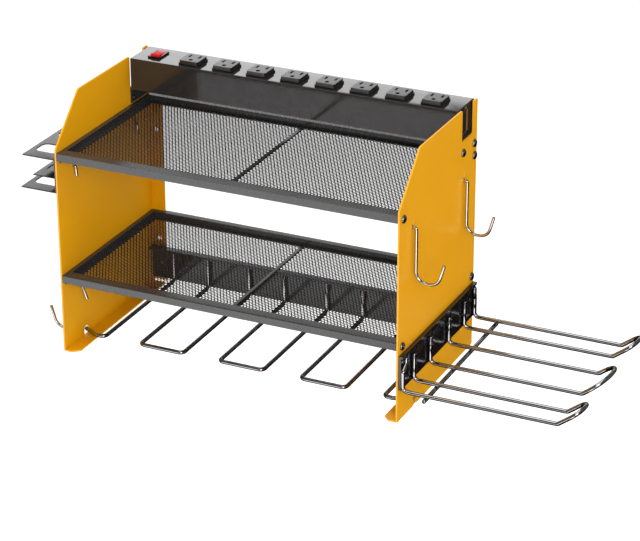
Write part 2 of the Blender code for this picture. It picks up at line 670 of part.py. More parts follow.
# Screws
def screw_mesh(name, head_radius, head_height, shank_radius, length):
    """A pan head screw along +Z, its head seat at the origin and its shank below."""
    shape = new_shape()
    profile = [(head_radius * out, head_height * up) for out, up in HEAD_CROWN]
    profile += [(head_radius, 0), (shank_radius, 0), (shank_radius, -length), (0, -length)]
    turned(shape, profile, (0, 0, 0), "Z", SCREW_SIDES)
    return finished_mesh(shape, name, smooth=True)


PAN_SCREW = screw_mesh("pan_screw", SCREW_HEAD_RADIUS, SCREW_HEAD_HEIGHT, SCREW_SHANK_RADIUS, SCREW_LENGTH)
SIDE_SCREW_SHANK = RACK_SHEET + PANEL_SHEET + 2 * CLEARANCE
SMALL_SCREW = screw_mesh("small_screw", SMALL_HEAD_RADIUS, SMALL_HEAD_HEIGHT, SMALL_SHANK_RADIUS,
                         SIDE_SCREW_SHANK)
OUTWARD_TURN = {1: (0, math.pi / 2, 0), -1: (0, -math.pi / 2, 0)}

for side, side_name in ((1, "right"), (-1, "left")):
    seat = side * (PANEL_OUTER_X + CLEARANCE)
    for shelf_name, shelf_top in (("upper", UPPER_SHELF_TOP), ("lower", LOWER_SHELF_TOP)):
        for end_name, screw_y in zip(("front", "rear"), SHELF_SCREW_YS):
            piece(f"{shelf_name}_shelf_screw_{side_name}_{end_name}", PAN_SCREW, ZINC,
                  (seat, screw_y, shelf_top - SHELF_SCREW_DROP), OUTWARD_TURN[side])
    for end_name, screw_y in zip(("front", "rear"), STRIP_SCREW_YS):
        piece(f"strip_screw_{side_name}_{end_name}", PAN_SCREW, ZINC, (seat, screw_y, STRIP_SCREW_HEIGHT),
              OUTWARD_TURN[side])


# Power strip
def outlet_x(index):
    """The middle of an outlet along the strip."""
    return FIRST_OUTLET_X + index * OUTLET_PITCH


def strip_housing():
    """The cover: front, top and back in one folded sheet, with openings for outlets and switch."""
    inner_top = STRIP_TOP - STRIP_SHEET
    corners = [(STRIP_FRONT_Y, STRIP_BOTTOM), (STRIP_FRONT_Y, STRIP_TOP), (STRIP_REAR_Y, STRIP_TOP),
               (STRIP_REAR_Y, STRIP_BOTTOM), (STRIP_REAR_Y - STRIP_SHEET, STRIP_BOTTOM),
               (STRIP_REAR_Y - STRIP_SHEET, inner_top), (STRIP_FRONT_Y + STRIP_SHEET, inner_top),
               (STRIP_FRONT_Y + STRIP_SHEET, STRIP_BOTTOM)]
    shape = new_shape()
    plate(shape, corners, "X", -STRIP_HALF_LENGTH, STRIP_HALF_LENGTH)
    housing = piece("strip_housing", finished_mesh(shape, "strip_housing"), BLACK_PLASTIC)
    cuts = new_shape()
    low, high = inner_top - CUT_OVERRUN, STRIP_TOP + CUT_OVERRUN
    opening = [size + 2 * CLEARANCE for size in OUTLET_BODY_SIZE]
    for index in range(OUTLET_COUNT):
        plate(cuts, rectangle((outlet_x(index), OUTLET_CENTRE_Y), opening), "Z", low, high)
    opening = [size + 2 * CLEARANCE for size in BEZEL_BODY_SIZE]
    plate(cuts, rectangle((SWITCH_X, SWITCH_CENTRE_Y), opening), "Z", low, high)
    combine(housing, cuts, "DIFFERENCE")


def strip_base():
    """The floor of the strip, with an end tab turned down at each side panel."""
    front = STRIP_FRONT_Y + STRIP_SHEET + CLEARANCE
    rear = STRIP_REAR_Y - STRIP_SHEET - CLEARANCE
    top = STRIP_BOTTOM + STRIP_SHEET
    corners = [(-TAB_OUTER_X, STRIP_TAB_BOTTOM), (-TAB_INNER_X, STRIP_TAB_BOTTOM),
               (-TAB_INNER_X, STRIP_BOTTOM), (TAB_INNER_X, STRIP_BOTTOM),
               (TAB_INNER_X, STRIP_TAB_BOTTOM), (TAB_OUTER_X, STRIP_TAB_BOTTOM),
               (TAB_OUTER_X, top), (-TAB_OUTER_X, top)]
    shape = new_shape()
    plate(shape, corners, "Y", front, rear)
    base = piece("strip_base", finished_mesh(shape, "strip_base"), BLACK_COAT)
    cuts = new_shape()
    for screw_y in STRIP_SCREW_YS:
        for side in (1, -1):
            hole = circle((screw_y, STRIP_SCREW_HEIGHT), SCREW_HOLE_RADIUS)
            plate(cuts, hole, "X", side * (TAB_INNER_X - CUT_OVERRUN), side * (TAB_OUTER_X + CUT_OVERRUN))
    combine(base, cuts, "DIFFERENCE")


def cap_limits():
    """The room for an end cap inside the housing, as (front, rear, bottom, top)."""
    return (STRIP_FRONT_Y + STRIP_SHEET + CLEARANCE, STRIP_REAR_Y - STRIP_SHEET - CLEARANCE,
            STRIP_BOTTOM + STRIP_SHEET + CLEARANCE, STRIP_TOP - STRIP_SHEET - CLEARANCE)


def end_cap(name, side):
    """A plate that closes one end of the strip, with a raised pad outside."""
    front, rear, bottom, top = cap_limits()
    outer = side * (STRIP_HALF_LENGTH - CAP_RECESS)
    holes = []
    if side < 0:
        holes.append(circle(gland_centre(), GLAND_BARREL_RADIUS + CLEARANCE))
    middle, size = ((front + rear) / 2, (bottom + top) / 2), (rear - front, top - bottom)
    shape = new_shape()
    plate(shape, rectangle(middle, size), "X", outer - side * CAP_THICKNESS, outer, holes)
    cap = piece(name, finished_mesh(shape, name), BLACK_PLASTIC)
    if side > 0:
        pad_size = [length - 2 * CAP_PAD_MARGIN for length in size]
        pad = new_shape()
        plate(pad, rounded_polygon(rectangle(middle, pad_size), CAP_PAD_CORNER), "X",
              outer - side * CAP_THICKNESS / 2, outer + side * CAP_PAD_RISE)
        combine(cap, pad, "UNION")


def gland_centre():
    """The middle of the supply inlet, as (y, z)."""
    front, rear, _, top = cap_limits()
    return ((front + rear) / 2, top - GLAND_DROP)


def cord_gland():
    """The inlet that the supply lead would come in by, in the left end of the strip."""
    seat = -(STRIP_HALF_LENGTH - CAP_RECESS) - CLEARANCE
    gland_y, gland_z = gland_centre()
    shape = new_shape()
    inner_end = GLAND_LENGTH - GLAND_FLANGE_THICKNESS
    profile = [(GLAND_BORE_RADIUS, -GLAND_FLANGE_THICKNESS), (GLAND_FLANGE_RADIUS, -GLAND_FLANGE_THICKNESS),
               (GLAND_FLANGE_RADIUS, 0), (GLAND_BARREL_RADIUS, 0), (GLAND_BARREL_RADIUS, inner_end),
               (GLAND_BORE_RADIUS, inner_end), (GLAND_BORE_RADIUS, -GLAND_FLANGE_THICKNESS)]
    turned(shape, profile, (seat, gland_y, gland_z), "X", SCREW_SIDES)
    bmesh.ops.remove_doubles(shape, verts=shape.verts, dist=WELD_DISTANCE)
    piece("cord_gland", finished_mesh(shape, "cord_gland", smooth=True), BLACK_PLASTIC)


def outlet_mesh():
    """One socket outlet seen from the strip's top: blade slots to the rear, earth hole in front."""
    up = Vector((0, 0, 1))
    shape = new_shape()
    levels = []
    for size, height in ((OUTLET_BODY_SIZE, -OUTLET_BODY_DEPTH), (OUTLET_BODY_SIZE, CLEARANCE),
                         (OUTLET_BASE_SIZE, CLEARANCE), (OUTLET_BASE_SIZE, OUTLET_BASE_HEIGHT),
                         (OUTLET_FACE_SIZE, OUTLET_BASE_HEIGHT), (OUTLET_FACE_SIZE, OUTLET_RISE)):
        outline = rounded_polygon(rectangle((0, 0), size), OUTLET_CORNER, 1)
        levels.append([shape.verts.new((x, y, height)) for x, y in outline])
    for lower, upper in zip(levels, levels[1:]):
        wall_between(shape, lower, upper)
    fill_between(shape, [levels[0]], -up)
    pockets = [rectangle((side * BLADE_SPACING / 2, BLADE_OFFSET), BLADE_SLOT) for side in (1, -1)]
    pockets.append(circle((0, -GROUND_OFFSET), GROUND_RADIUS))
    mouths = []
    for outline in pockets:
        mouth = [shape.verts.new((x, y, OUTLET_RISE)) for x, y in outline]
        floor = [shape.verts.new((x, y, OUTLET_RISE - SOCKET_DEPTH)) for x, y in outline]
        wall_between(shape, mouth, floor)
        fill_between(shape, [floor], up)
        mouths.append(mouth)
    fill_between(shape, [levels[-1], *mouths], up)
    return finished_mesh(shape, "outlet")


def bus_bars():
    """Three brass bars that run along under the outlets."""
    width, thickness = BUS_BAR_SIZE
    top = STRIP_TOP - OUTLET_BODY_DEPTH - CLEARANCE
    first, last = outlet_x(0) - BUS_BAR_OVERHANG, outlet_x(OUTLET_COUNT - 1) + BUS_BAR_OVERHANG
    for index, bar_name in enumerate(("earth", "neutral", "live")):
        middle = OUTLET_CENTRE_Y + (index - 1) * BUS_BAR_PITCH
        shape = new_shape()
        block(shape, (first, middle - width / 2, top - thickness), (last, middle + width / 2, top))
        piece("bus_bar_" + bar_name, finished_mesh(shape, "bus_bar_" + bar_name), BRASS)


strip_housing()
strip_base()
end_cap("end_cap_right", 1)
end_cap("end_cap_left", -1)
cord_gland()
OUTLET = outlet_mesh()
for outlet_number in range(OUTLET_COUNT):
    seat = (outlet_x(outlet_number), OUTLET_CENTRE_Y, STRIP_TOP)
    piece(f"outlet_{outlet_number + 1}", OUTLET, BLACK_PLASTIC, seat)
bus_bars()


# Switch
def switch_bezel():
    """The frame round the rocker, with holes in its sides for the pivot pins."""
    middle = (SWITCH_X, SWITCH_CENTRE_Y)
    heights = (STRIP_TOP - BEZEL_BODY_DEPTH, STRIP_TOP + CLEARANCE, STRIP_TOP + CLEARANCE,
               STRIP_TOP + BEZEL_HEIGHT)
    sizes = (BEZEL_BODY_SIZE, BEZEL_BODY_SIZE, BEZEL_SIZE, BEZEL_SIZE)
    shape = new_shape()
    outside = [[shape.verts.new((x, y, height)) for x, y in rectangle(middle, size)]
               for size, height in zip(sizes, heights)]
    inside = [[shape.verts.new((x, y, height)) for x, y in rectangle(middle, BEZEL_HOLE)]
              for height in (heights[0], heights[-1])]
    for lower, upper in zip(outside, outside[1:]):
        wall_between(shape, lower, upper)
    wall_between(shape, *inside)
    wall_between(shape, outside[0], inside[0])
    wall_between(shape, outside[-1], inside[-1])
    bezel = piece("switch_bezel", finished_mesh(shape, "switch_bezel"), BLACK_PLASTIC)
    pin_holes = new_shape()
    pin_hole = circle((SWITCH_CENTRE_Y, STRIP_TOP - PIVOT_DEPTH), PIVOT_PIN_RADIUS + CLEARANCE)
    reach = BEZEL_BODY_SIZE[0] / 2 + CUT_OVERRUN
    plate(pin_holes, pin_hole, "X", SWITCH_X - reach, SWITCH_X + reach)
    combine(bezel, pin_holes, "DIFFERENCE")


def switch_rocker():
    """The rocker, its origin on its pivot, tipped with its rear end pressed in."""
    rise = PIVOT_DEPTH + ROCKER_PIVOT_RISE
    profile = [(-ROCKER_HALF_LENGTH, -ROCKER_END_DROP), (0, -ROCKER_DROP),
               (ROCKER_HALF_LENGTH, -ROCKER_END_DROP), (ROCKER_HALF_LENGTH, rise + ROCKER_END_RISE),
               (0, rise + ROCKER_MIDDLE_RISE), (-ROCKER_HALF_LENGTH, rise + ROCKER_END_RISE)]
    shape = new_shape()
    plate(shape, profile, "X", -ROCKER_WIDTH / 2, ROCKER_WIDTH / 2)
    pivot = (SWITCH_X, SWITCH_CENTRE_Y, STRIP_TOP - PIVOT_DEPTH)
    rocker = piece("switch_rocker", finished_mesh(shape, "switch_rocker"), RED_PLASTIC, pivot,
                   (math.radians(-ROCKER_TILT_DEG), 0, 0))
    pins = new_shape()
    reach = ROCKER_WIDTH / 2 + PIVOT_PIN_REACH
    plate(pins, circle((pivot[1], pivot[2]), PIVOT_PIN_RADIUS), "X", pivot[0] - reach, pivot[0] + reach)
    combine(rocker, pins, "UNION")


switch_bezel()
switch_rocker()


# J hooks and hangers
def wire_seat(side, slot_y, slot_bottom):
    """The point in the middle of the sheet where a wire crosses above a slot's lower end."""
    return (side * (PANEL_OUTER_X - PANEL_SHEET / 2), slot_y, slot_bottom + HOOK_SEAT_GAP + WIRE_RADIUS)


def wire_tail(side, seat, length, lean_deg):
    """The wire's inner end and its bend, from the tip of the tail to the crossing."""
    bend_x = side * (PANEL_INNER_X - HOOK_TAIL_OFFSET)
    lean = math.radians(lean_deg)
    tip = (bend_x - side * length * math.sin(lean), seat[1], seat[2] - length * math.cos(lean))
    return [tip, (bend_x, seat[1], seat[2])]


def j_hook(name, side, slot_y, slot_bottom):
    """A loose hook of bent wire, its origin where it turns in its slot."""
    seat = wire_seat(side, slot_y, slot_bottom)
    corners = wire_tail(side, seat, HOOK_TAIL_LENGTH, HOOK_TAIL_LEAN_DEG)
    for offset, drop in ((HOOK_SHANK_OFFSET, 0), (HOOK_SHANK_OFFSET, HOOK_DROP), (HOOK_TOE_OFFSET, HOOK_DROP),
                         (HOOK_TIP_OFFSET, HOOK_TIP_DROP)):
        corners.append((side * (PANEL_OUTER_X + offset), slot_y, seat[2] - drop))
    radii = (HOOK_BEND_RADIUS, HOOK_BEND_RADIUS, HOOK_THROAT_RADIUS, HOOK_THROAT_RADIUS)
    rod(name, bent_path(corners, radii), WIRE_RADIUS, CHROME, seat)


def rack_hanger(name, slot_y):
    """A short wire through panel and tool rack, its outer leg turned up over the rack."""
    seat = wire_seat(-1, slot_y, UPPER_SLOT_BOTTOM)
    corners = wire_tail(-1, seat, HANGER_TAIL_LENGTH, HANGER_TAIL_LEAN_DEG)
    leg_x = -(TOOL_WEB_X + CLEARANCE + WIRE_RADIUS)
    corners += [(leg_x, slot_y, seat[2]), (leg_x, slot_y, seat[2] + HANGER_LEG_HEIGHT)]
    rod(name, bent_path(corners, (HOOK_BEND_RADIUS, HOOK_BEND_RADIUS)), WIRE_RADIUS, CHROME, seat)


j_hook("j_hook_right_front", 1, FRONT_SLOT_Y, UPPER_SLOT_BOTTOM)
j_hook("j_hook_right_rear", 1, REAR_SLOT_Y, UPPER_SLOT_BOTTOM)
j_hook("j_hook_left_front", -1, FRONT_SLOT_Y, LOWER_SLOT_BOTTOM)
rack_hanger("rack_hanger_front", FRONT_SLOT_Y)
rack_hanger("rack_hanger_rear", REAR_SLOT_Y)


# Side drill rack
def side_loops():
    """The loops along the side rack, as (name, front rod, rear rod)."""
    half_wide = SIDE_WIDE_LOOP / 2
    near, far = half_wide + SIDE_SLOT_PITCH, half_wide + SIDE_SLOT_PITCH + SIDE_NARROW_LOOP
    middle = SIDE_RACK_CENTRE_Y
    return [("front", middle - far, middle - near), ("middle", middle - half_wide, middle + half_wide),
            ("rear", middle + near, middle + far)]


def side_rack_plate():
    """The plate that carries the loops: a web on the panel, a flange above and raised panels."""
    bottom, top = SIDE_RACK_BOTTOM, SIDE_RACK_BOTTOM + RACK_PLATE_HEIGHT
    inner = PANEL_OUTER_X + CLEARANCE
    face = PANEL_OUTER_X + RACK_FACE
    front, rear = SIDE_PLATE_YS
    shape = new_shape()
    flange_edge = face + SIDE_TOP_FLANGE
    outline = [(inner, bottom), (face, bottom), (face, top - RACK_SHEET), (flange_edge, top - RACK_SHEET),
               (flange_edge, top), (inner, top)]
    plate(shape, outline, "Y", front, rear)
    made = piece("side_rack_plate", finished_mesh(shape, "side_rack_plate"), BLACK_COAT)
    raised = new_shape()
    rod_ys = [rod_y for _, first, last in side_loops() for rod_y in (first, last)]
    low = bottom + EMBOSS_BOTTOM_MARGIN
    for first, last in zip(rod_ys, rod_ys[1:]):
        height = EMBOSS_HEIGHT if last - first > SIDE_NARROW_LOOP + CLEARANCE else EMBOSS_LOW_HEIGHT
        middle = ((first + last) / 2, low + height / 2)
        size = (last - first - 2 * EMBOSS_MARGIN, height)
        outline = rounded_polygon(rectangle(middle, size), EMBOSS_CORNER, 2)
        plate(raised, outline, "X", face - RACK_SHEET / 2, face + EMBOSS_DEPTH)
    combine(made, raised, "UNION")
    holes = new_shape()
    for screw_y in side_screw_ys():
        hole = circle((screw_y, SIDE_SCREW_HEIGHT), SMALL_HOLE_RADIUS)
        plate(holes, hole, "X", inner - CUT_OVERRUN, face + CUT_OVERRUN)
    combine(made, holes, "DIFFERENCE")


def side_loop(name, first, last):
    """One loop: down the plate, straight out, up at the end, across and back the same way."""
    stand = PANEL_OUTER_X + ROD_STAND
    top = SIDE_RACK_BOTTOM + RACK_PLATE_HEIGHT - RACK_SHEET - CLEARANCE
    bend_x = PANEL_OUTER_X + SIDE_REACH
    rise = math.radians(TIP_RISE_DEG)
    tip_x, tip_z = bend_x + TIP_LENGTH * math.cos(rise), SIDE_ROD_HEIGHT + TIP_LENGTH * math.sin(rise)
    tip_radius = min((last - first) * TIP_CORNER_SHARE, TIP_LENGTH * TIP_LENGTH_SHARE)
    front_screw_y, rear_screw_y = side_screw_ys()
    room = SMALL_HEAD_RADIUS + CLEARANCE + ROD_RADIUS
    lean_top = SIDE_SCREW_HEIGHT - SMALL_HEAD_RADIUS - CLEARANCE
    half = []
    for rod_y in (first, last):
        # A leg that would stand in front of a screw steps aside and runs up beside the screw.
        top_y = min(max(rod_y, front_screw_y + room), rear_screw_y - room)
        leg, radii = [(stand, rod_y, SIDE_RACK_BOTTOM + SIDE_LEG_HEIGHT)], []
        if top_y != rod_y:
            leg = [(stand, top_y, top), (stand, top_y, lean_top), (stand, rod_y, lean_top - LEG_LEAN_HEIGHT)]
            radii = [ROD_RADIUS, ROD_RADIUS]
        leg += [(stand, rod_y, SIDE_ROD_HEIGHT), (bend_x, rod_y, SIDE_ROD_HEIGHT), (tip_x, rod_y, tip_z)]
        half.append((leg, radii + [ROD_BEND_RADIUS, ROD_BEND_RADIUS, tip_radius]))
    (first_leg, first_radii), (last_leg, last_radii) = half
    path = bent_path(first_leg + last_leg[::-1], first_radii + last_radii[::-1])
    rod("side_rack_loop_" + name, path, ROD_RADIUS, DARK_CHROME)


def cross_rod():
    """The straight rod that ties the loops together underneath."""
    loops = side_loops()
    height = SIDE_ROD_HEIGHT - 2 * ROD_RADIUS - CLEARANCE
    rod_x = PANEL_OUTER_X + CROSS_ROD_REACH
    front, rear = loops[0][1] - CROSS_ROD_OVERHANG, loops[-1][2] + CROSS_ROD_OVERHANG
    rod("side_rack_cross_rod", [(rod_x, front, height), (rod_x, rear, height)], ROD_RADIUS, DARK_CHROME)


side_rack_plate()
for loop_name, loop_front, loop_rear in side_loops():
    side_loop(loop_name, loop_front, loop_rear)
cross_rod()
for end_name, screw_y in zip(("front", "rear"), side_screw_ys()):
    piece("side_rack_screw_" + end_name, SMALL_SCREW, ZINC,
          (PANEL_OUTER_X + RACK_FACE + CLEARANCE, screw_y, SIDE_SCREW_HEIGHT), OUTWARD_TURN[1])


# Drill rack under the lower shelf
def under_rack_plate():
    """The plate between the panels' rear flanges that carries the lower loops."""
    bottom, top = UNDER_ROD_HEIGHT, UNDER_ROD_HEIGHT + RACK_PLATE_HEIGHT
    back = -PANEL_SHEET - CLEARANCE
    face = -PANEL_SHEET - RACK_FACE
    half = PANEL_INNER_X - CLEARANCE
    shape = new_shape()
    flange_edge = face - UNDER_TOP_FLANGE
    outline = [(back, bottom), (face, bottom), (face, top - RACK_SHEET), (flange_edge, top - RACK_SHEET),
               (flange_edge, top), (back, top)]
    plate(shape, outline, "X", -half, half)
    made = piece("under_rack_plate", finished_mesh(shape, "under_rack_plate"), BLACK_COAT)
    holes = new_shape()
    for side in (1, -1):
        hole = circle((side * under_screw_x(), UNDER_SCREW_HEIGHT), SMALL_HOLE_RADIUS)
        plate(holes, hole, "Y", face - CUT_OVERRUN, back + CUT_OVERRUN)
    combine(made, holes, "DIFFERENCE")


def under_loop(name, middle):
    """A full loop: down the plate, forward under the shelf, across and back."""
    stand = -PANEL_SHEET - ROD_STAND
    top = UNDER_ROD_HEIGHT + RACK_PLATE_HEIGHT - RACK_SHEET - CLEARANCE
    left, right = middle - UNDER_LOOP_WIDTH / 2, middle + UNDER_LOOP_WIDTH / 2
    legs = [[(x, stand, top), (x, stand, UNDER_ROD_HEIGHT), (x, UNDER_FRONT_Y, UNDER_ROD_HEIGHT)]
            for x in (left, right)]
    radii = [ROD_BEND_RADIUS] * 4
    rod("under_rack_loop_" + name, bent_path(legs[0] + legs[1][::-1], radii), ROD_RADIUS, DARK_CHROME)


def under_half_loop(name, side):
    """The outermost rod: forward, a little outward, then slanting back into the side panel's notch."""
    stand = -PANEL_SHEET - ROD_STAND
    top = UNDER_ROD_HEIGHT + RACK_PLATE_HEIGHT - RACK_SHEET - CLEARANCE
    rod_x = side * ((UNDER_LOOPS // 2 + 1) * UNDER_PITCH - UNDER_LOOP_WIDTH / 2)
    end_x = side * (PANEL_OUTER_X - ROD_RADIUS / 2)
    slant_x = rod_x + (end_x - rod_x) * SLANT_START_SHARE
    corners = [(rod_x, stand, top), (rod_x, stand, UNDER_ROD_HEIGHT),
               (rod_x, UNDER_FRONT_Y, UNDER_ROD_HEIGHT), (slant_x, UNDER_FRONT_Y, UNDER_ROD_HEIGHT),
               (end_x, LOW_NOTCH_Y, UNDER_ROD_HEIGHT)]
    radii = (ROD_BEND_RADIUS, ROD_BEND_RADIUS, SLANT_BEND_RADIUS)
    rod("under_rack_half_loop_" + name, bent_path(corners, radii), ROD_RADIUS, DARK_CHROME)


under_rack_plate()
for loop_number in range(UNDER_LOOPS):
    under_loop(str(loop_number + 1), (loop_number - (UNDER_LOOPS - 1) / 2) * UNDER_PITCH)
under_half_loop("right", 1)
under_half_loop("left", -1)
for side, side_name in ((1, "right"), (-1, "left")):
    seat = (side * under_screw_x(), -PANEL_SHEET - RACK_FACE - CLEARANCE, UNDER_SCREW_HEIGHT)
    piece("under_rack_screw_" + side_name, SMALL_SCREW, ZINC, seat, (math.pi / 2, 0, 0))


# Tool rack outside the left panel
def station_ys():
    """Where the tool rack's openings are along the depth, evenly about its middle."""
    middle = (-DEPTH - TOOL_REAR_INSET) / 2
    return [middle + (index - (TOOL_STATIONS - 1) / 2) * TOOL_STATION_PITCH for index in range(TOOL_STATIONS)]


def tier_slots(reach):
    """The openings of a tier that sticks out this far from the panel, as (x, y) outlines."""
    inner, outer = TOOL_WEB_X + TOOL_SLOT_MARGIN, PANEL_OUTER_X + reach - TOOL_SLOT_MARGIN
    size = (outer - inner, TOOL_SLOT_WIDTH)
    middle_x = -(inner + outer) / 2
    return [rounded_polygon(rectangle((middle_x, y), size), TOOL_SLOT_CORNER, 2) for y in station_ys()]


def tool_tier(name, height, reach, inner):
    """A flat tier with its openings, from the web out to its reach."""
    outline = [(-inner, -DEPTH), (-inner, -TOOL_REAR_INSET), (-PANEL_OUTER_X - reach, -TOOL_REAR_INSET),
               (-PANEL_OUTER_X - reach, -DEPTH)]
    shape = new_shape()
    plate(shape, outline, "Z", height - TOOL_SHEET, height, tier_slots(reach))
    return piece(name, finished_mesh(shape, name), BLACK_COAT)


def tool_rack():
    """The three tiers; the top one is folded from the web that hangs on the wires."""
    low, middle, high = zip(TOOL_TIER_HEIGHTS, TOOL_TIER_REACHES)
    top = tool_tier("tool_rack_top", *high, TOOL_WEB_X - TOOL_SHEET / 2)
    tool_tier("tool_rack_middle_tier", *middle, TOOL_WEB_X + CLEARANCE)
    tool_tier("tool_rack_bottom_tier", *low, TOOL_WEB_X + CLEARANCE)
    slot_top = UPPER_SLOT_BOTTOM + 2 * (HOOK_SEAT_GAP + WIRE_RADIUS)
    holes = [upright_slot(slot_y, slot_top - SLOT_HEIGHT, SLOT_WIDTH, SLOT_HEIGHT)
             for slot_y in (FRONT_SLOT_Y, REAR_SLOT_Y)]
    web = new_shape()
    outline = [(-DEPTH, low[0] - TOOL_SHEET), (-TOOL_REAR_INSET, low[0] - TOOL_SHEET),
               (-TOOL_REAR_INSET, high[0]), (-DEPTH, high[0])]
    plate(web, outline, "X", -TOOL_WEB_X, -TOOL_WEB_X + TOOL_SHEET, holes)
    combine(top, web, "UNION")
    relief = new_shape()
    hole = circle((SHELF_SCREW_YS[0], UPPER_SHELF_TOP - SHELF_SCREW_DROP), SCREW_RELIEF_RADIUS)
    plate(relief, hole, "X", -PANEL_OUTER_X, -PANEL_OUTER_X - CLEARANCE - SCREW_RELIEF_DEPTH)
    combine(top, relief, "DIFFERENCE")


tool_rack()
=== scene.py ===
# %% [markdown]
# # A wall rack for cordless tools
#
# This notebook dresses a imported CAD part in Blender. The real object is a rack of folded and
# powder coated sheet steel that hangs on a wall. Two yellow side panels carry two black shelves
# with expanded metal floors, a power strip runs along the top, bent rods hold drills outside and
# below, and small chrome hooks hang in slots of the panels.
#
# The CAD gives every piece its place and its main shape. What is added here is what the eye
# reads as real: rounded folds, true diamond mesh, cross recesses, drawn wire and proper finishes.

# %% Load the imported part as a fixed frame
import json
import math

import bmesh
import bpy
from mathutils import Matrix, Vector

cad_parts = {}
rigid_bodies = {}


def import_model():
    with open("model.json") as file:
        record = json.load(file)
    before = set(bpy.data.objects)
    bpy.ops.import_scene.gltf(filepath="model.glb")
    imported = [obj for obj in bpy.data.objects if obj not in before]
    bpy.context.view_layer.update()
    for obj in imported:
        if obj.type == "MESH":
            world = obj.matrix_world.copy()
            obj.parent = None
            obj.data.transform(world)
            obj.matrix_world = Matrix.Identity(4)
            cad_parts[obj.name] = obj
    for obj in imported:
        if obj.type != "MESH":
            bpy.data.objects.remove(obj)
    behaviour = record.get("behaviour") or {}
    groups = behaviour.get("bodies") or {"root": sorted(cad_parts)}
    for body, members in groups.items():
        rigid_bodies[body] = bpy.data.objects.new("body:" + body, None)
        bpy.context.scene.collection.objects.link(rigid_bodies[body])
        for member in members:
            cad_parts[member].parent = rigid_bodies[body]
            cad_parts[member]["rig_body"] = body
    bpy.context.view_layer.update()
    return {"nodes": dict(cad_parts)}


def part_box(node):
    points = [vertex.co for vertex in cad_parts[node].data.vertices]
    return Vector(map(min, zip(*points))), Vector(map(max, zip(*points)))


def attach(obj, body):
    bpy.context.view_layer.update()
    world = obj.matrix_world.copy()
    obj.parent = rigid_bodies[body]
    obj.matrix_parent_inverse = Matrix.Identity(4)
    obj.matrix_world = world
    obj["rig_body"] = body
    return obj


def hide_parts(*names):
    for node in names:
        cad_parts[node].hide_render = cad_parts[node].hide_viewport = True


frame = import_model()
nodes = frame["nodes"]

# %% [markdown]
# ## Measures
#
# A workshop drawing of such a rack is in millimetres, with heights from the lower edge of the
# side panels. The frame is in metres, with its origin on the wall. Two small functions turn one
# into the other, so that every size below can be read like the drawing. Parts that touch on the
# real rack stand a hair apart in the CAD, which is the gap below.

# %% Millimetres on the drawing become metres in the frame
MM = 0.001
HALF_WIDTH = 215.0
DEPTH = 222.0
PANEL_SHEET = 2.0
RACK_SHEET = 3.0
TOOL_SHEET = 1.5
GAP = 0.3
# The four corners of a rectangle, as signs of x and y
QUADRANTS = ((-1, -1), (1, -1), (1, 1), (-1, 1))
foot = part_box("right_side_panel")[0].z


def place(x, y, z):
    """A point of the drawing, in millimetres from the panels' lower edge, as a point in the frame."""
    return Vector((x * MM, y * MM, z * MM + foot))


def on_drawing(point):
    """A point in the frame as (x, y, z) on the drawing."""
    return (point.x / MM, point.y / MM, (point.z - foot) / MM)


print("The panels' lower edge is at", round(foot, 5), "m")

# %% [markdown]
# ## The camera
#
# The photograph was taken with a long lens from the front, a little to the right and above. A
# long lens keeps parallel edges nearly parallel, as the two shelves show. The place and the
# three angles below were solved, together with the rack's proportions, from its corners in the
# photograph. The scale of all of it comes from one assumed length, the width of 430 mm.

# %% Camera at the photograph's place
AZIMUTH, ELEVATION, ROLL = (math.radians(angle) for angle in (25.211, 24.610, -0.124))
CAMERA_PLACE = (1197.9, -2511.1, 1328.4)
FOCAL_PIXELS = 2519.0
IMAGE_WIDTH = 640
SENSOR_WIDTH = 36.0
VIEW_LIMIT = 60.0

forward = Vector((-math.sin(AZIMUTH) * math.cos(ELEVATION), math.cos(AZIMUTH) * math.cos(ELEVATION),
                  -math.sin(ELEVATION)))
level_right = Vector((math.cos(AZIMUTH), math.sin(AZIMUTH), 0.0))
level_up = level_right.cross(forward)
right = math.cos(ROLL) * level_right + math.sin(ROLL) * level_up
up = math.cos(ROLL) * level_up - math.sin(ROLL) * level_right

lens = bpy.data.cameras.new("long_lens")
lens.sensor_width = SENSOR_WIDTH
lens.lens = FOCAL_PIXELS / IMAGE_WIDTH * lens.sensor_width
lens.clip_end = VIEW_LIMIT
camera = bpy.data.objects.new("camera", lens)
bpy.context.scene.collection.objects.link(camera)
camera_turn = Matrix((right, up, -forward)).transposed().to_4x4()
camera.matrix_world = Matrix.Translation(place(*CAMERA_PLACE)) @ camera_turn
bpy.context.scene.camera = camera
bpy.context.scene.view_settings.view_transform = "Standard"
print("Lens of", round(lens.lens, 1), "mm at", [round(value, 3) for value in camera.location])

# %% [markdown]
# ## Colours and nodes
#
# Colours are written as sRGB numbers, while a renderer adds light in linear numbers. One function
# turns the first into the second, with the four constants of the sRGB standard. A second one adds
# a node to a tree with its settings and its links, which keeps every material short enough to read.

# %% Two helpers for every node tree
SRGB_KNEE, SRGB_SLOPE = 0.04045, 12.92
SRGB_OFFSET, SRGB_POWER = 0.055, 2.4
WHITE = (1, 1, 1, 1)


def linear(hex_colour):
    """An sRGB hex colour as linear red, green, blue and alpha."""
    values = []
    for start in (1, 3, 5):
        channel = int(hex_colour[start:start + 2], 16) / 255
        if channel <= SRGB_KNEE:
            values.append(channel / SRGB_SLOPE)
        else:
            values.append(((channel + SRGB_OFFSET) / (1 + SRGB_OFFSET)) ** SRGB_POWER)
    return (*values, 1.0)


def add_node(tree, kind, inputs=None, **settings):
    """Adds a node; each input is a value, or a socket that is linked to it."""
    made = tree.nodes.new(kind)
    for name, value in settings.items():
        setattr(made, name, value)
    for name, value in (inputs or {}).items():
        if isinstance(value, bpy.types.NodeSocket):
            tree.links.new(value, made.inputs[name])
        else:
            made.inputs[name].default_value = value
    return made


print("Mid grey #808080 is", round(linear("#808080")[0], 3), "in linear light")

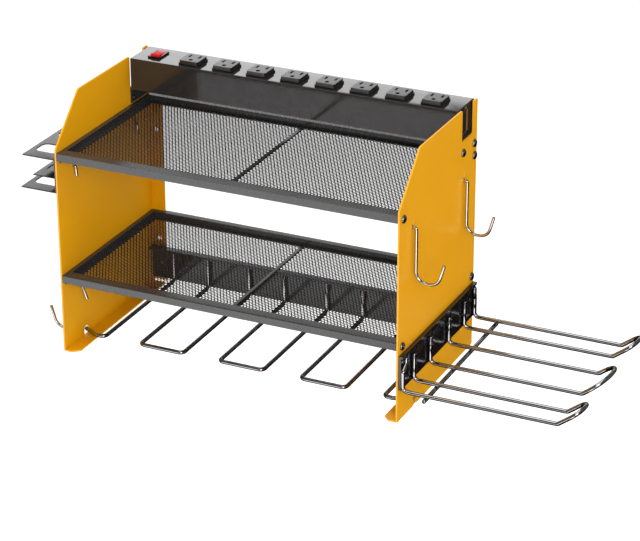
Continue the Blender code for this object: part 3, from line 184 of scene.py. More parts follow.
# %% [markdown]
# ## Finishes
#
# The rack has a yellow powder coat, a satin and a gloss black coat, moulded plastics in black and
# red, chrome, a smoked chrome on the rods, black nickel on the screws, and brass inside the strip.
# A coat or plating is never perfectly even. Each material below therefore has slow clouds in its
# colour, a finer pattern in its roughness, and a bump with the size of the real texture. Noise
# seldom leaves a band round its middle, so that band is what the roughness is spread over.

# %% The frame that all finishes share
NOISE_BAND = (0.3, 0.7)
CLOUD_DETAIL = 2.0
TEXTURE_DETAIL, TEXTURE_ROUGHNESS = 3.0, 0.45


def finish(name, low, high, rough, cloud_mm, texture_mm, bump_mm, metallic=0.0, ior=1.5,
           stretch=(1, 1, 1)):
    """A Principled material: two close colours in slow clouds, uneven roughness, and a fine bump."""
    material = bpy.data.materials.new(name)
    material.use_nodes = True
    tree = material.node_tree
    shader = tree.nodes["Principled BSDF"]
    shader.inputs["Metallic"].default_value = metallic
    if not metallic:
        shader.inputs["IOR"].default_value = ior
    own = add_node(tree, "ShaderNodeTexCoord").outputs["Object"]
    place_on_piece = add_node(tree, "ShaderNodeMapping", {"Vector": own, "Scale": stretch}).outputs[0]
    clouds = add_node(tree, "ShaderNodeTexNoise", {"Vector": place_on_piece, "Scale": 1 / (cloud_mm * MM),
                                                   "Detail": CLOUD_DETAIL})
    colour = add_node(tree, "ShaderNodeMix", {"Factor": clouds.outputs["Fac"]}, data_type="RGBA")
    colour.inputs["A"].default_value = linear(low)
    colour.inputs["B"].default_value = linear(high)
    tree.links.new(colour.outputs["Result"], shader.inputs["Base Color"])
    texture = add_node(tree, "ShaderNodeTexNoise", {
        "Vector": place_on_piece, "Scale": 1 / (texture_mm * MM),
        "Detail": TEXTURE_DETAIL, "Roughness": TEXTURE_ROUGHNESS})
    uneven = add_node(tree, "ShaderNodeMapRange", {
        "Value": texture.outputs["Fac"], "From Min": NOISE_BAND[0], "From Max": NOISE_BAND[1],
        "To Min": rough[0], "To Max": rough[1]})
    tree.links.new(uneven.outputs["Result"], shader.inputs["Roughness"])
    bump = add_node(tree, "ShaderNodeBump", {"Height": texture.outputs["Fac"], "Distance": bump_mm * MM,
                                             "Strength": 1.0})
    tree.links.new(bump.outputs["Normal"], shader.inputs["Normal"])
    return material


# %% [markdown]
# Powder coat is sprayed on as dry powder and melted in an oven. It flows into a smooth skin with
# a faint orange peel, waves some 2 to 3 mm long and at most a few thousandths of a millimetre
# high, which the eye sees only where a light glances off. The yellow and the shelves' black are a
# satin gloss, with broad soft highlights. The black of the small plates and of the expanded metal
# is a high gloss, which stays deep black beside a sharp highlight.
#
# The strip's cover is moulded in black ABS from a polished mould, so it mirrors the shelf in front
# of it. The outlets and the switch are polycarbonate, a little finer in texture. Its higher index
# of refraction makes the mirror stronger than on the coats.

# %% Coats and plastics
yellow_coat = finish("yellow_powder_coated_steel", "#EFA800", "#E8A100", rough=(0.30, 0.36),
                     cloud_mm=70, texture_mm=2.6, bump_mm=0.0015, ior=1.45)
black_coat = finish("black_satin_coated_steel", "#2B2A2A", "#2F2E2E", rough=(0.25, 0.28),
                    cloud_mm=60, texture_mm=2.4, bump_mm=0.0003)
gloss_coat = finish("black_gloss_coated_steel", "#161414", "#191717", rough=(0.12, 0.16),
                    cloud_mm=60, texture_mm=2.4, bump_mm=0.0010)
strip_plastic = finish("black_moulded_abs", "#252322", "#292625", rough=(0.07, 0.10),
                       cloud_mm=50, texture_mm=1.6, bump_mm=0.0006, ior=1.60)
outlet_plastic = finish("black_moulded_polycarbonate", "#0E0E0E", "#121212", rough=(0.14, 0.20),
                        cloud_mm=30, texture_mm=0.9, bump_mm=0.0006, ior=1.58)
red_plastic = finish("red_moulded_polycarbonate", "#D80D18", "#E3111D", rough=(0.16, 0.24),
                     cloud_mm=12, texture_mm=0.8, bump_mm=0.0006, ior=1.58)
print("Coats and plastics:", yellow_coat.name, black_coat.name, strip_plastic.name, outlet_plastic.name)

# %% [markdown]
# Chrome is plated over nickel on a drawn wire and gives the eye a mirror with hardly any colour.
# The hooks mirror about half of the room's light and the rods a third, as smoked chrome does. The
# screw heads are plated in black nickel, which is warmer and duller. The bars inside the strip
# are plain rolled brass, with the faint lines of rolling along the bar.

# %% Metals
bright_chrome = finish("bright_chrome_on_wire", "#B9B4AF", "#AFAAA6", rough=(0.04, 0.07),
                       cloud_mm=20, texture_mm=0.8, bump_mm=0.0003, metallic=1.0)
dark_chrome = finish("smoked_chrome_on_rod", "#9A9898", "#908E8E", rough=(0.06, 0.11),
                     cloud_mm=25, texture_mm=0.8, bump_mm=0.0003, metallic=1.0)
plated_screw = finish("black_nickel_plated_screw", "#8E8A86", "#807C78", rough=(0.14, 0.22),
                      cloud_mm=6, texture_mm=0.6, bump_mm=0.0004, metallic=1.0)
brass = finish("rolled_brass", "#C9A24A", "#BE9540", rough=(0.26, 0.40),
               cloud_mm=10, texture_mm=0.8, bump_mm=0.002, metallic=1.0, stretch=(0.05, 1, 1))
print("Metals:", bright_chrome.name, dark_chrome.name, plated_screw.name, brass.name)

# %% [markdown]
# ## Pieces
#
# A finished piece is a plain mesh at the origin. It gets its finish and the body that it moves with, the
# CAD nodes that it stands for are hidden, and a short line says how far its box is from that of the CAD.
# That should be well under a millimetre, except for the two floors: they end in
# whole diamonds, which stop 2.4 mm short of the CAD's sheet at each side.


def hand_over(obj, material, *names):
    """Gives a mesh object its finish and its body, and hides the CAD nodes that it stands for."""
    obj.data.materials.clear()
    obj.data.materials.append(material)
    corners = [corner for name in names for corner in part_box(name)]
    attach(obj, nodes[names[0]]["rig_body"])
    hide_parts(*names)
    points = [vertex.co for vertex in obj.data.vertices]
    off = max(abs(pick(p[axis] for p in points) - pick(c[axis] for c in corners))
              for axis in range(3) for pick in (min, max))
    print(f"{obj.name}: {len(obj.data.polygons)} faces, {off / MM:.2f} mm from the CAD box")


def new_object(name, mesh):
    """Puts a mesh in the scene as an object at the origin."""
    obj = bpy.data.objects.new(name, mesh)
    bpy.context.scene.collection.objects.link(obj)
    return obj


# %% [markdown]
# ### Folded sheet
#
# A press brake never leaves a sharp fold: the outside of a bend in 2 mm steel has a radius of
# about the sheet's thickness, and a sawn or lasered edge is broken by the coat to a few tenths.
# Those radii catch the light as the bright lines that draw the rack in the photograph.
#
# They could be modelled by hand, but the CAD already has the flat shape. So the CAD mesh is
# copied, its loose triangles are joined and merged into flat faces, and a Bevel modifier rounds
# each edge by the radius that a short rule gives it. Weighted Normal then lets each large face
# set the shading at its corners, so that a flat sheet mirrors like a flat sheet.

# %% Round the edges of a copied CAD solid
WELD_DISTANCE = 0.002
FLAT_BELOW = math.radians(0.5)
EDGE_ABOVE = math.radians(25)
LARGE_FACES_WEIGHT = 100


def joined_copy(node):
    """A CAD node's mesh as a bmesh, with its triangles joined and its flat faces merged."""
    shape = bmesh.new()
    shape.from_mesh(nodes[node].data)
    bmesh.ops.remove_doubles(shape, verts=shape.verts, dist=WELD_DISTANCE * MM)
    bmesh.ops.dissolve_limit(shape, angle_limit=FLAT_BELOW, verts=shape.verts, edges=shape.edges)
    return shape


def rounded_copy(node, edge_mm, folds=(), segments=2):
    """A copy whose edges are rounded by edge_mm, or by the radius of the first fold that they lie on."""
    shape = joined_copy(node)
    widest = max([edge_mm] + [radius for _, radius in folds])
    weight = shape.edges.layers.float.new("bevel_weight_edge")
    for edge in shape.edges:
        if len(edge.link_faces) != 2 or edge.calc_face_angle(0.0) < EDGE_ABOVE:
            continue
        ends = [on_drawing(vertex.co) for vertex in edge.verts]
        radius = next((radius for rule, radius in folds if all(rule(*end) for end in ends)), edge_mm)
        edge[weight] = radius / widest
    mesh = bpy.data.meshes.new(node)
    shape.to_mesh(mesh)
    shape.free()
    mesh.shade_smooth()
    obj = new_object("rounded_" + node, mesh)
    bevel = obj.modifiers.new("edges", "BEVEL")
    bevel.limit_method = "WEIGHT"
    bevel.width = widest * MM
    bevel.segments = segments
    bevel.use_clamp_overlap = True
    flat = obj.modifiers.new("flat_faces", "WEIGHTED_NORMAL")
    flat.mode = "FACE_AREA"
    flat.weight = LARGE_FACES_WEIGHT
    return obj


def dress(node, material, edge_mm, folds=(), segments=2):
    """Hands over a rounded copy of a CAD node as the piece that stands for it."""
    hand_over(rounded_copy(node, edge_mm, folds, segments), material, node)


def near(value, target, reach=0.05):
    """Whether two sizes in millimetres are the same."""
    return abs(value - target) < reach


# %% Side panels, folded at the bottom flange and at the rear flange
PANEL_EDGE = 0.55
PANEL_FOLDS = [(lambda x, y, z: near(abs(x), HALF_WIDTH) and near(z, 0), PANEL_SHEET),
               (lambda x, y, z: near(abs(x), HALF_WIDTH) and near(y, 0), PANEL_SHEET)]
for node in ("right_side_panel", "left_side_panel"):
    dress(node, yellow_coat, PANEL_EDGE, PANEL_FOLDS)

# %% Shelf frames, with their roundest fold along the front
SHELF_EDGE, SHELF_FOLD, SHELF_FRONT_FOLD = 0.25, 0.7, 1.0
for node in ("upper_shelf_frame", "lower_shelf_frame"):
    top = on_drawing(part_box(node)[1])[2]
    folds = [(lambda x, y, z, top=top: near(z, top) and near(y, -DEPTH), SHELF_FRONT_FOLD),
             (lambda x, y, z, top=top: near(z, top), SHELF_FOLD)]
    dress(node, black_coat, SHELF_EDGE, folds)

# %% Strip, switch and racks
STRIP_EDGE, STRIP_FOLD = 0.3, 0.8
BEZEL_EDGE, ROCKER_EDGE = 0.35, 0.5
PLATE_EDGE, BAR_EDGE = 0.4, 0.15
STRIP_TOP = on_drawing(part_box("strip_housing")[1])[2]

dress("strip_housing", strip_plastic, STRIP_EDGE, [(lambda x, y, z: near(z, STRIP_TOP), STRIP_FOLD)])
dress("strip_base", black_coat, STRIP_EDGE)
dress("end_cap_right", strip_plastic, STRIP_EDGE)
dress("end_cap_left", strip_plastic, STRIP_EDGE)
dress("cord_gland", outlet_plastic, STRIP_EDGE)
dress("switch_bezel", outlet_plastic, BEZEL_EDGE)
dress("switch_rocker", red_plastic, ROCKER_EDGE, segments=3)
for node in ("side_rack_plate", "under_rack_plate",
             "tool_rack_top", "tool_rack_middle_tier", "tool_rack_bottom_tier"):
    dress(node, gloss_coat, PLATE_EDGE)
for node in ("bus_bar_earth", "bus_bar_neutral", "bus_bar_live"):
    dress(node, brass, BAR_EDGE)

# %% [markdown]
# ### Geometry Nodes
#
# Whatever repeats or follows a path is described better by a rule than by a list of faces. Each
# tree below takes its sizes from named inputs. A modifier's input is set by its socket's
# identifier, and the result is then turned into a plain mesh, because an exported model has no
# modifiers and no instances.

# %% Helpers for a tree of Geometry Nodes
def new_rule(name, **inputs):
    """A Geometry Nodes tree with a geometry input and the named ones, as (tree, its input node)."""
    tree = bpy.data.node_groups.new(name, "GeometryNodeTree")
    tree.interface.new_socket("Geometry", in_out="INPUT", socket_type="NodeSocketGeometry")
    tree.interface.new_socket("Geometry", in_out="OUTPUT", socket_type="NodeSocketGeometry")
    for label, kind in inputs.items():
        tree.interface.new_socket(label, in_out="INPUT", socket_type="NodeSocket" + kind)
    return tree, tree.nodes.new("NodeGroupInput")


def end_rule(tree, geometry, material):
    """Ends a tree: instances made real, then the finish."""
    real = add_node(tree, "GeometryNodeRealizeInstances", {"Geometry": geometry}).outputs[0]
    dressed = add_node(tree, "GeometryNodeSetMaterial", {"Geometry": real, "Material": material}).outputs[0]
    add_node(tree, "NodeGroupOutput", {"Geometry": dressed})


def grown(name, carrier_mesh, tree, values):
    """Runs a tree on a mesh with the given input values and returns the result as a plain object."""
    carrier = new_object(name + "_carrier", carrier_mesh)
    modifier = carrier.modifiers.new("rule", "NODES")
    modifier.node_group = tree
    sockets = tree.interface.items_tree
    identifiers = {socket.name: socket.identifier for socket in sockets if socket.in_out == "INPUT"}
    for label, value in values.items():
        modifier[identifiers[label]] = value
    bpy.context.view_layer.update()
    depsgraph = bpy.context.evaluated_depsgraph_get()
    mesh = bpy.data.meshes.new_from_object(carrier.evaluated_get(depsgraph), depsgraph=depsgraph)
    mesh.name = name
    bpy.data.objects.remove(carrier)
    shape = bmesh.new()
    shape.from_mesh(mesh)
    bmesh.ops.recalc_face_normals(shape, faces=shape.faces)
    shape.to_mesh(mesh)
    shape.free()
    return new_object(name, mesh)


# %% [markdown]
# ### Wire hooks and rods
#
# A hook is a straight wire with a few bends, each of a known radius, and ends that were tumbled
# smooth after cutting. A curve object with a round bevel would do, but a rule is shorter: the
# route is a line of points, each with its share of the full thickness, and a round section is
# swept along it. The share falls off over the last millimetre, which rounds the ends.

# %% Route of a bent rod
STRAIGHT = 0.001
ROD_SIDES = 20
TIP_SHARE = 0.45
TIP_OUTLINE = ((0.0, 0.60), (0.12, 0.78), (0.45, 0.93), (1.0, 1.0))


def bent_route(corners, radii, steps=8):
    """Rounds the inner corners of an open path, each to its own radius."""
    route = [Vector(corners[0])]
    for before, here, after, radius in zip(corners, corners[1:], corners[2:], radii):
        here = Vector(here)
        back, ahead = Vector(before) - here, Vector(after) - here
        half = back.angle(ahead) / 2
        if math.cos(half) < STRAIGHT:
            continue
        centre = here + (back.normalized() + ahead.normalized()).normalized() * radius / math.sin(half)
        first = here + back.normalized() * radius / math.tan(half) - centre
        last = here + ahead.normalized() * radius / math.tan(half) - centre
        turn = first.angle(last)
        for step in range(steps + 1):
            share = step / steps
            spoke = first * math.sin((1 - share) * turn) + last * math.sin(share * turn)
            route.append(centre + spoke / math.sin(turn))
    return route + [Vector(corners[-1])]


def rod_line(name, route, radius):
    """The route as a mesh line; the attribute girth draws its two ends in to a round tip."""
    tip = TIP_SHARE * radius
    stations = [(depth * tip, share) for depth, share in TIP_OUTLINE]
    front = [(route[0] + (route[1] - route[0]).normalized() * depth, share) for depth, share in stations]
    rear = [(route[-1] + (route[-2] - route[-1]).normalized() * depth, share) for depth, share in stations]
    line = front + [(point, 1.0) for point in route[1:-1]] + rear[::-1]
    mesh = bpy.data.meshes.new(name)
    mesh.from_pydata([place(*point) for point, _ in line], [(i, i + 1) for i in range(len(line) - 1)], [])
    girth = mesh.attributes.new("girth", "FLOAT", "POINT")
    girth.data.foreach_set("value", [share for _, share in line])
    return mesh


# %% The rule that sweeps a round section along a route
rod_rule, given = new_rule("swept_rod", Radius="Float", Sides="Int", Finish="Material")
line = add_node(rod_rule, "GeometryNodeMeshToCurve", {"Mesh": given.outputs["Geometry"]}).outputs[0]
section = add_node(rod_rule, "GeometryNodeCurvePrimitiveCircle",
                   {"Resolution": given.outputs["Sides"], "Radius": given.outputs["Radius"]}).outputs[0]
girth = add_node(rod_rule, "GeometryNodeInputNamedAttribute", {"Name": "girth"},
                 data_type="FLOAT").outputs[0]
swept = add_node(rod_rule, "GeometryNodeCurveToMesh",
                 {"Curve": line, "Profile Curve": section, "Scale": girth, "Fill Caps": True}).outputs[0]
smooth = add_node(rod_rule, "GeometryNodeSetShadeSmooth", {"Geometry": swept}).outputs[0]
end_rule(rod_rule, smooth, given.outputs["Finish"])


def rod(node, corners, radii, radius, material):
    """One finished rod or wire that stands for a CAD node."""
    mesh = rod_line(node, bent_route(corners, radii), radius)
    obj = grown("bent_" + node, mesh, rod_rule,
                {"Radius": radius * MM, "Sides": ROD_SIDES, "Finish": material})
    hand_over(obj, material, node)


print("Rule", rod_rule.name, "has", len(rod_rule.nodes), "nodes")

# %% [markdown]
# The J hooks hang loosely in slots 4 mm wide. The wire goes through the panel, turns down inside
# as a short tail that keeps it from falling out, and outside it drops, sweeps round an open
# throat and ends in a short raised tip. The two hangers of the tool rack are cut from the same
# wire, with the outer leg turned up over the rack.

# %% J hooks and hangers
WIRE = 1.8
FRONT_SLOT, REAR_SLOT = -184.5, -37.0
UPPER_CROSSING, LOWER_CROSSING = 224.4, 75.9
TAIL_OFFSET = 2.7
INSIDE = HALF_WIDTH - PANEL_SHEET - TAIL_OFFSET
WIRE_BEND, THROAT_BEND = 3.0, 13.0
HOOK_TAIL, HOOK_LEAN_DEG = 23.5, 20.0
HANGER_TAIL, HANGER_LEAN_DEG, HANGER_LEG = 14.0, 5.0, 14.0
# The outside of a hook, as (distance from the panel, drop below the slot)
HOOK_OUTSIDE = ((4.4, 0.0), (4.4, 65.4), (30.5, 65.4), (38.0, 39.4))


def wire_tail(side, y, z, length, lean_deg):
    """The inner end of a wire: the tip of its tail, and the bend where it turns into the slot."""
    lean = math.radians(lean_deg)
    tip = (side * (INSIDE - length * math.sin(lean)), y, z - length * math.cos(lean))
    return [tip, (side * INSIDE, y, z)]


for node, side, y, z in (("j_hook_right_front", 1, FRONT_SLOT, UPPER_CROSSING),
                         ("j_hook_right_rear", 1, REAR_SLOT, UPPER_CROSSING),
                         ("j_hook_left_front", -1, FRONT_SLOT, LOWER_CROSSING)):
    corners = wire_tail(side, y, z, HOOK_TAIL, HOOK_LEAN_DEG)
    corners += [(side * (HALF_WIDTH + out), y, z - drop) for out, drop in HOOK_OUTSIDE]
    rod(node, corners, (WIRE_BEND, WIRE_BEND, THROAT_BEND, THROAT_BEND), WIRE, bright_chrome)

leg_x = -(HALF_WIDTH + GAP + TOOL_SHEET + GAP + WIRE)
for node, y in (("rack_hanger_front", FRONT_SLOT), ("rack_hanger_rear", REAR_SLOT)):
    corners = wire_tail(-1, y, UPPER_CROSSING, HANGER_TAIL, HANGER_LEAN_DEG)
    corners += [(leg_x, y, UPPER_CROSSING), (leg_x, y, UPPER_CROSSING + HANGER_LEG)]
    rod(node, corners, (WIRE_BEND, WIRE_BEND), WIRE, bright_chrome)

# %% [markdown]
# The drill racks are loops of 5 mm rod. A side loop comes down its plate, runs straight out for
# nearly 190 mm, lifts at 37 degrees and turns back beside itself, so that a drill's grip stands
# between two neighbouring rods. The outermost legs step aside at the top to leave a screw free.

# %% Sizes that both drill racks share
ROD = 2.5
ROD_BEND = 6.0
PLATE_HEIGHT = 42.0
BELOW_FLANGE = PLATE_HEIGHT - RACK_SHEET - GAP
ROD_STAND = GAP + RACK_SHEET + GAP + ROD
SMALL_HEAD, SMALL_HEAD_HEIGHT = 2.7, 2.0

# %% Rods of the side rack
STAND = HALF_WIDTH + ROD_STAND
PLATE_BOTTOM = 40.5
ROD_HEIGHT = 40.8
RACK_TOP = PLATE_BOTTOM + BELOW_FLANGE
LEG_TOP = PLATE_BOTTOM + 33.7
TIP_LENGTH, TIP_RISE = 31.6, math.radians(37.0)
BEND_X = HALF_WIDTH + 188.7
TIP_X = BEND_X + TIP_LENGTH * math.cos(TIP_RISE)
TIP_Z = ROD_HEIGHT + TIP_LENGTH * math.sin(TIP_RISE)
FRONT_SCREW, REAR_SCREW, SCREW_HEIGHT = -217.4, -4.6, 75.5
SCREW_ROOM = SMALL_HEAD + GAP + ROD
LEAN_TOP, LEAN_HEIGHT = SCREW_HEIGHT - SMALL_HEAD - GAP, 8.0
LOOPS = {"front": (-221.0, -189.5), "middle": (-142.5, -87.5), "rear": (-40.5, -9.0)}
# The bend at a loop's tip takes this share of the loop's width, and at most this share of its tip
WIDTH_SHARE, LENGTH_SHARE = 0.46, 0.8


def side_leg(y, tip_radius):
    """Half of a side loop from its leg to its tip, as (corners, radii)."""
    top_y = min(max(y, FRONT_SCREW + SCREW_ROOM), REAR_SCREW - SCREW_ROOM)
    leg, radii = [(STAND, y, LEG_TOP)], []
    if top_y != y:
        leg = [(STAND, top_y, RACK_TOP), (STAND, top_y, LEAN_TOP), (STAND, y, LEAN_TOP - LEAN_HEIGHT)]
        radii = [ROD, ROD]
    leg += [(STAND, y, ROD_HEIGHT), (BEND_X, y, ROD_HEIGHT), (TIP_X, y, TIP_Z)]
    return leg, radii + [ROD_BEND, ROD_BEND, tip_radius]


for name, (first, last) in LOOPS.items():
    tip_radius = min(WIDTH_SHARE * (last - first), LENGTH_SHARE * TIP_LENGTH)
    first_leg, first_radii = side_leg(first, tip_radius)
    last_leg, last_radii = side_leg(last, tip_radius)
    radii = first_radii + last_radii[::-1]
    rod("side_rack_loop_" + name, first_leg + last_leg[::-1], radii, ROD, dark_chrome)

CROSS_REACH, CROSS_OVERHANG = 33.0, 5.0
cross_x, cross_z = HALF_WIDTH + CROSS_REACH, ROD_HEIGHT - 2 * ROD - GAP
cross_ends = [(cross_x, LOOPS["front"][0] - CROSS_OVERHANG, cross_z),
              (cross_x, LOOPS["rear"][1] + CROSS_OVERHANG, cross_z)]
rod("side_rack_cross_rod", cross_ends, [], ROD, dark_chrome)

# %% [markdown]
# Under the lower shelf, three full loops point forward. A half loop at each side turns outward at
# the front, slants back and ends in a notch in the panel's lower edge.

# %% Rods of the under rack
UNDER_HEIGHT = 8.5
UNDER_FRONT = -183.0
UNDER_STAND = -(PANEL_SHEET + ROD_STAND)
UNDER_TOP = UNDER_HEIGHT + BELOW_FLANGE
UNDER_PITCH, LOOP_HALF_WIDTH = 105.0, 28.5
SLANT_START, SLANT_SETBACK, SLANT_BEND = 194.4, 11.5, 12.0


def under_leg(x):
    """A rod down the plate at x and forward under the shelf, as corners."""
    return [(x, UNDER_STAND, UNDER_TOP), (x, UNDER_STAND, UNDER_HEIGHT), (x, UNDER_FRONT, UNDER_HEIGHT)]


for number, middle in enumerate((-UNDER_PITCH, 0.0, UNDER_PITCH), 1):
    corners = under_leg(middle - LOOP_HALF_WIDTH) + under_leg(middle + LOOP_HALF_WIDTH)[::-1]
    rod(f"under_rack_loop_{number}", corners, [ROD_BEND] * 4, ROD, dark_chrome)
for name, side in (("right", 1), ("left", -1)):
    corners = under_leg(side * (2 * UNDER_PITCH - LOOP_HALF_WIDTH))
    corners += [(side * SLANT_START, UNDER_FRONT, UNDER_HEIGHT),
                (side * (HALF_WIDTH - ROD / 2), UNDER_FRONT + SLANT_SETBACK, UNDER_HEIGHT)]
    rod(f"under_rack_half_loop_{name}", corners, [ROD_BEND, ROD_BEND, SLANT_BEND], ROD, dark_chrome)

# %% [markdown]
# ### Expanded metal
#
# Expanded metal is a sheet that was slit in staggered rows and pulled open, so it is one piece of
# diamonds. In the photograph a diamond is about 4.1 mm across and 7.4 mm long, and lies along the
# rack's depth. The pull tips each strand on its edge, so a strand's section is drawn as a kite,
# whose two slanting faces mirror the room more darkly than a level one would.
#
# Diamonds that touch only at their corners already draw every strand once, because the ones in
# between are their gaps. So the rule makes one diamond ring, sets it on a plain grid of points
# and makes the copies real.

# %% The rule for a floor of diamonds
mesh_rule, given = new_rule("expanded_metal", Across="Float", Along="Float", Columns="Int", Rows="Int",
                            Strand="Float", Thickness="Float", Finish="Material")
size = given.outputs


def worked_out(operation, first, second):
    """A Math node's result inside the mesh rule."""
    return add_node(mesh_rule, "ShaderNodeMath", {0: first, 1: second}, operation=operation).outputs[0]


span_x = worked_out("SUBTRACT", size["Columns"], 1.0)
span_y = worked_out("SUBTRACT", size["Rows"], 1.0)
width = worked_out("MULTIPLY", span_x, size["Across"])
depth = worked_out("MULTIPLY", span_y, size["Along"])
points = add_node(mesh_rule, "GeometryNodeMeshGrid", {
    "Size X": width, "Size Y": depth, "Vertices X": size["Columns"], "Vertices Y": size["Rows"]}).outputs[0]
cell = add_node(mesh_rule, "ShaderNodeCombineXYZ",
                {"X": size["Across"], "Y": size["Along"], "Z": 0.0}).outputs[0]
square = add_node(mesh_rule, "GeometryNodeCurvePrimitiveCircle",
                  {"Resolution": 4, "Radius": 0.5}).outputs[0]
diamond = add_node(mesh_rule, "GeometryNodeTransform", {"Geometry": square, "Scale": cell}).outputs[0]
half_height = worked_out("MULTIPLY", size["Thickness"], 0.5)
section = add_node(mesh_rule, "GeometryNodeCurvePrimitiveQuadrilateral", {
    "Width": size["Strand"], "Bottom Height": half_height, "Top Height": half_height},
    mode="KITE").outputs[0]
ring = add_node(mesh_rule, "GeometryNodeCurveToMesh",
                {"Curve": diamond, "Profile Curve": section}).outputs[0]
copies = add_node(mesh_rule, "GeometryNodeInstanceOnPoints",
                  {"Points": points, "Instance": ring}).outputs[0]
end_rule(mesh_rule, copies, size["Finish"])
print("Rule", mesh_rule.name, "has", len(mesh_rule.nodes), "nodes")

# %% Floors of the two shelves
ACROSS, ALONG, COLUMNS, ROWS = 4.11, 7.45, 99, 26
STRAND, THICKNESS = 1.75, 1.1


def one_point(name):
    """A mesh of a single point, which carries a rule that needs none of its own."""
    mesh = bpy.data.meshes.new(name)
    mesh.from_pydata([(0, 0, 0)], [], [])
    return mesh


for node in ("upper_shelf_mesh", "lower_shelf_mesh"):
    low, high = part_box(node)
    floor = grown("diamond_" + node, one_point(node), mesh_rule,
                  {"Across": ACROSS * MM, "Along": ALONG * MM, "Columns": COLUMNS, "Rows": ROWS,
                   "Strand": STRAND * MM, "Thickness": THICKNESS * MM, "Finish": gloss_coat})
    floor.data.transform(Matrix.Translation((low + high) / 2))
    hand_over(floor, gloss_coat, node)

# %% [markdown]
# ### Screws
#
# The shelves and the strip are held by pan head screws with a cross recess, ten millimetres
# across, and the plates of the drill racks by smaller ones of the same kind. One screw of each
# size is modelled in full, with its domed head and the recess cut into it. A rule then sets a copy
# on every point and turns it to the direction stored there.

# %% One screw of each size, pointing up
# Shares of the head: its radius at the seat, and its height where the rim ends and the dome starts
SEAT_SHARE, RIM_SHARE = 0.97, 0.12
# A power under 1 makes the dome fuller than a ball
DOME_STEPS, DOME_POWER = 6, 0.8


def screw_mesh(name, head_radius, head_height, shank_radius, length, sides=24):
    """A screw with its head's seat at the origin and its shank below, still without its recess."""
    shape = bmesh.new()
    profile = [(shank_radius, -length), (shank_radius, 0.0), (head_radius * SEAT_SHARE, 0.0),
               (head_radius, head_height * RIM_SHARE)]
    for step in range(1, DOME_STEPS):
        angle = math.radians(90 / DOME_STEPS * step)
        dome_height = RIM_SHARE + (1 - RIM_SHARE) * math.sin(angle)
        profile.append((head_radius * math.cos(angle) ** DOME_POWER, head_height * dome_height))
    spokes = [math.tau * i / sides for i in range(sides)]
    rings = [[shape.verts.new(Vector((r * math.cos(t), r * math.sin(t), z)) * MM) for t in spokes]
             for r, z in profile]
    crown = shape.verts.new((0, 0, head_height * MM))
    foot_point = shape.verts.new((0, 0, -length * MM))
    for ring, following in zip(rings, rings[1:]):
        for i in range(sides):
            shape.faces.new((ring[i - 1], ring[i], following[i], following[i - 1]))
    for i in range(sides):
        shape.faces.new((rings[-1][i - 1], rings[-1][i], crown))
        shape.faces.new((rings[0][i], rings[0][i - 1], foot_point))
    bmesh.ops.recalc_face_normals(shape, faces=shape.faces)
    mesh = bpy.data.meshes.new(name)
    shape.to_mesh(mesh)
    shape.free()
    return mesh


# Shares of the recess's size at its floor, and at a level above the head, where its taper widens
RECESS_FLOOR, RECESS_ABOVE = 0.45, 1.15
RECESS_OVERRUN = 1.0


def recess_mesh(name, reach, width, depth, top):
    """The cross that is cut out of a head: two tapered bars, crossing."""
    shape = bmesh.new()
    levels = ((top - depth, RECESS_FLOOR), (top + RECESS_OVERRUN, RECESS_ABOVE))
    for turn in (0.0, math.pi / 2):
        spin = Matrix.Rotation(turn, 3, "Z")
        corners = [(u * reach * share, v * width / 2 * share, z)
                   for z, share in levels for u, v in QUADRANTS]
        points = [shape.verts.new((spin @ Vector(corner)) * MM) for corner in corners]
        shape.faces.new(points[:4])
        shape.faces.new(points[4:])
        for i in range(4):
            shape.faces.new((points[i], points[(i + 1) % 4], points[4 + (i + 1) % 4], points[4 + i]))
    bmesh.ops.recalc_face_normals(shape, faces=shape.faces)
    mesh = bpy.data.meshes.new(name)
    shape.to_mesh(mesh)
    shape.free()
    return mesh


def cut(body, tool):
    """Cuts one object out of another with a Boolean modifier, then drops the cutter."""
    step = body.modifiers.new("cut", "BOOLEAN")
    step.object = tool
    step.solver = "EXACT"
    step.use_self = True
    depsgraph = bpy.context.evaluated_depsgraph_get()
    mesh = bpy.data.meshes.new_from_object(body.evaluated_get(depsgraph), depsgraph=depsgraph)
    body.modifiers.clear()
    body.data = mesh
    bpy.data.objects.remove(tool)
    return body


SHARP_ABOVE = math.radians(38)
PAN_HEAD, PAN_HEAD_HEIGHT = 5.0, 3.0


def cross_head_screw(name, head, shank, recess):
    """A whole screw; head is (radius, height), shank (radius, length), recess (reach, width, depth)."""
    body = new_object(name + "_screw", screw_mesh(name + "_screw", *head, *shank))
    cutter = new_object(name + "_recess", recess_mesh(name + "_recess", *recess, head[1]))
    screw = cut(body, cutter)
    screw.data.shade_smooth()
    screw.data.set_sharp_from_angle(angle=SHARP_ABOVE)
    print(screw.name, "has", len(screw.data.polygons), "faces")
    return screw


pan_screw = cross_head_screw("pan", head=(PAN_HEAD, PAN_HEAD_HEIGHT),
                             shank=(2.4, 6.2), recess=(2.5, 1.1, 1.6))
small_screw = cross_head_screw("small", head=(SMALL_HEAD, SMALL_HEAD_HEIGHT),
                               shank=(1.7, 5.6), recess=(1.4, 0.7, 1.0))

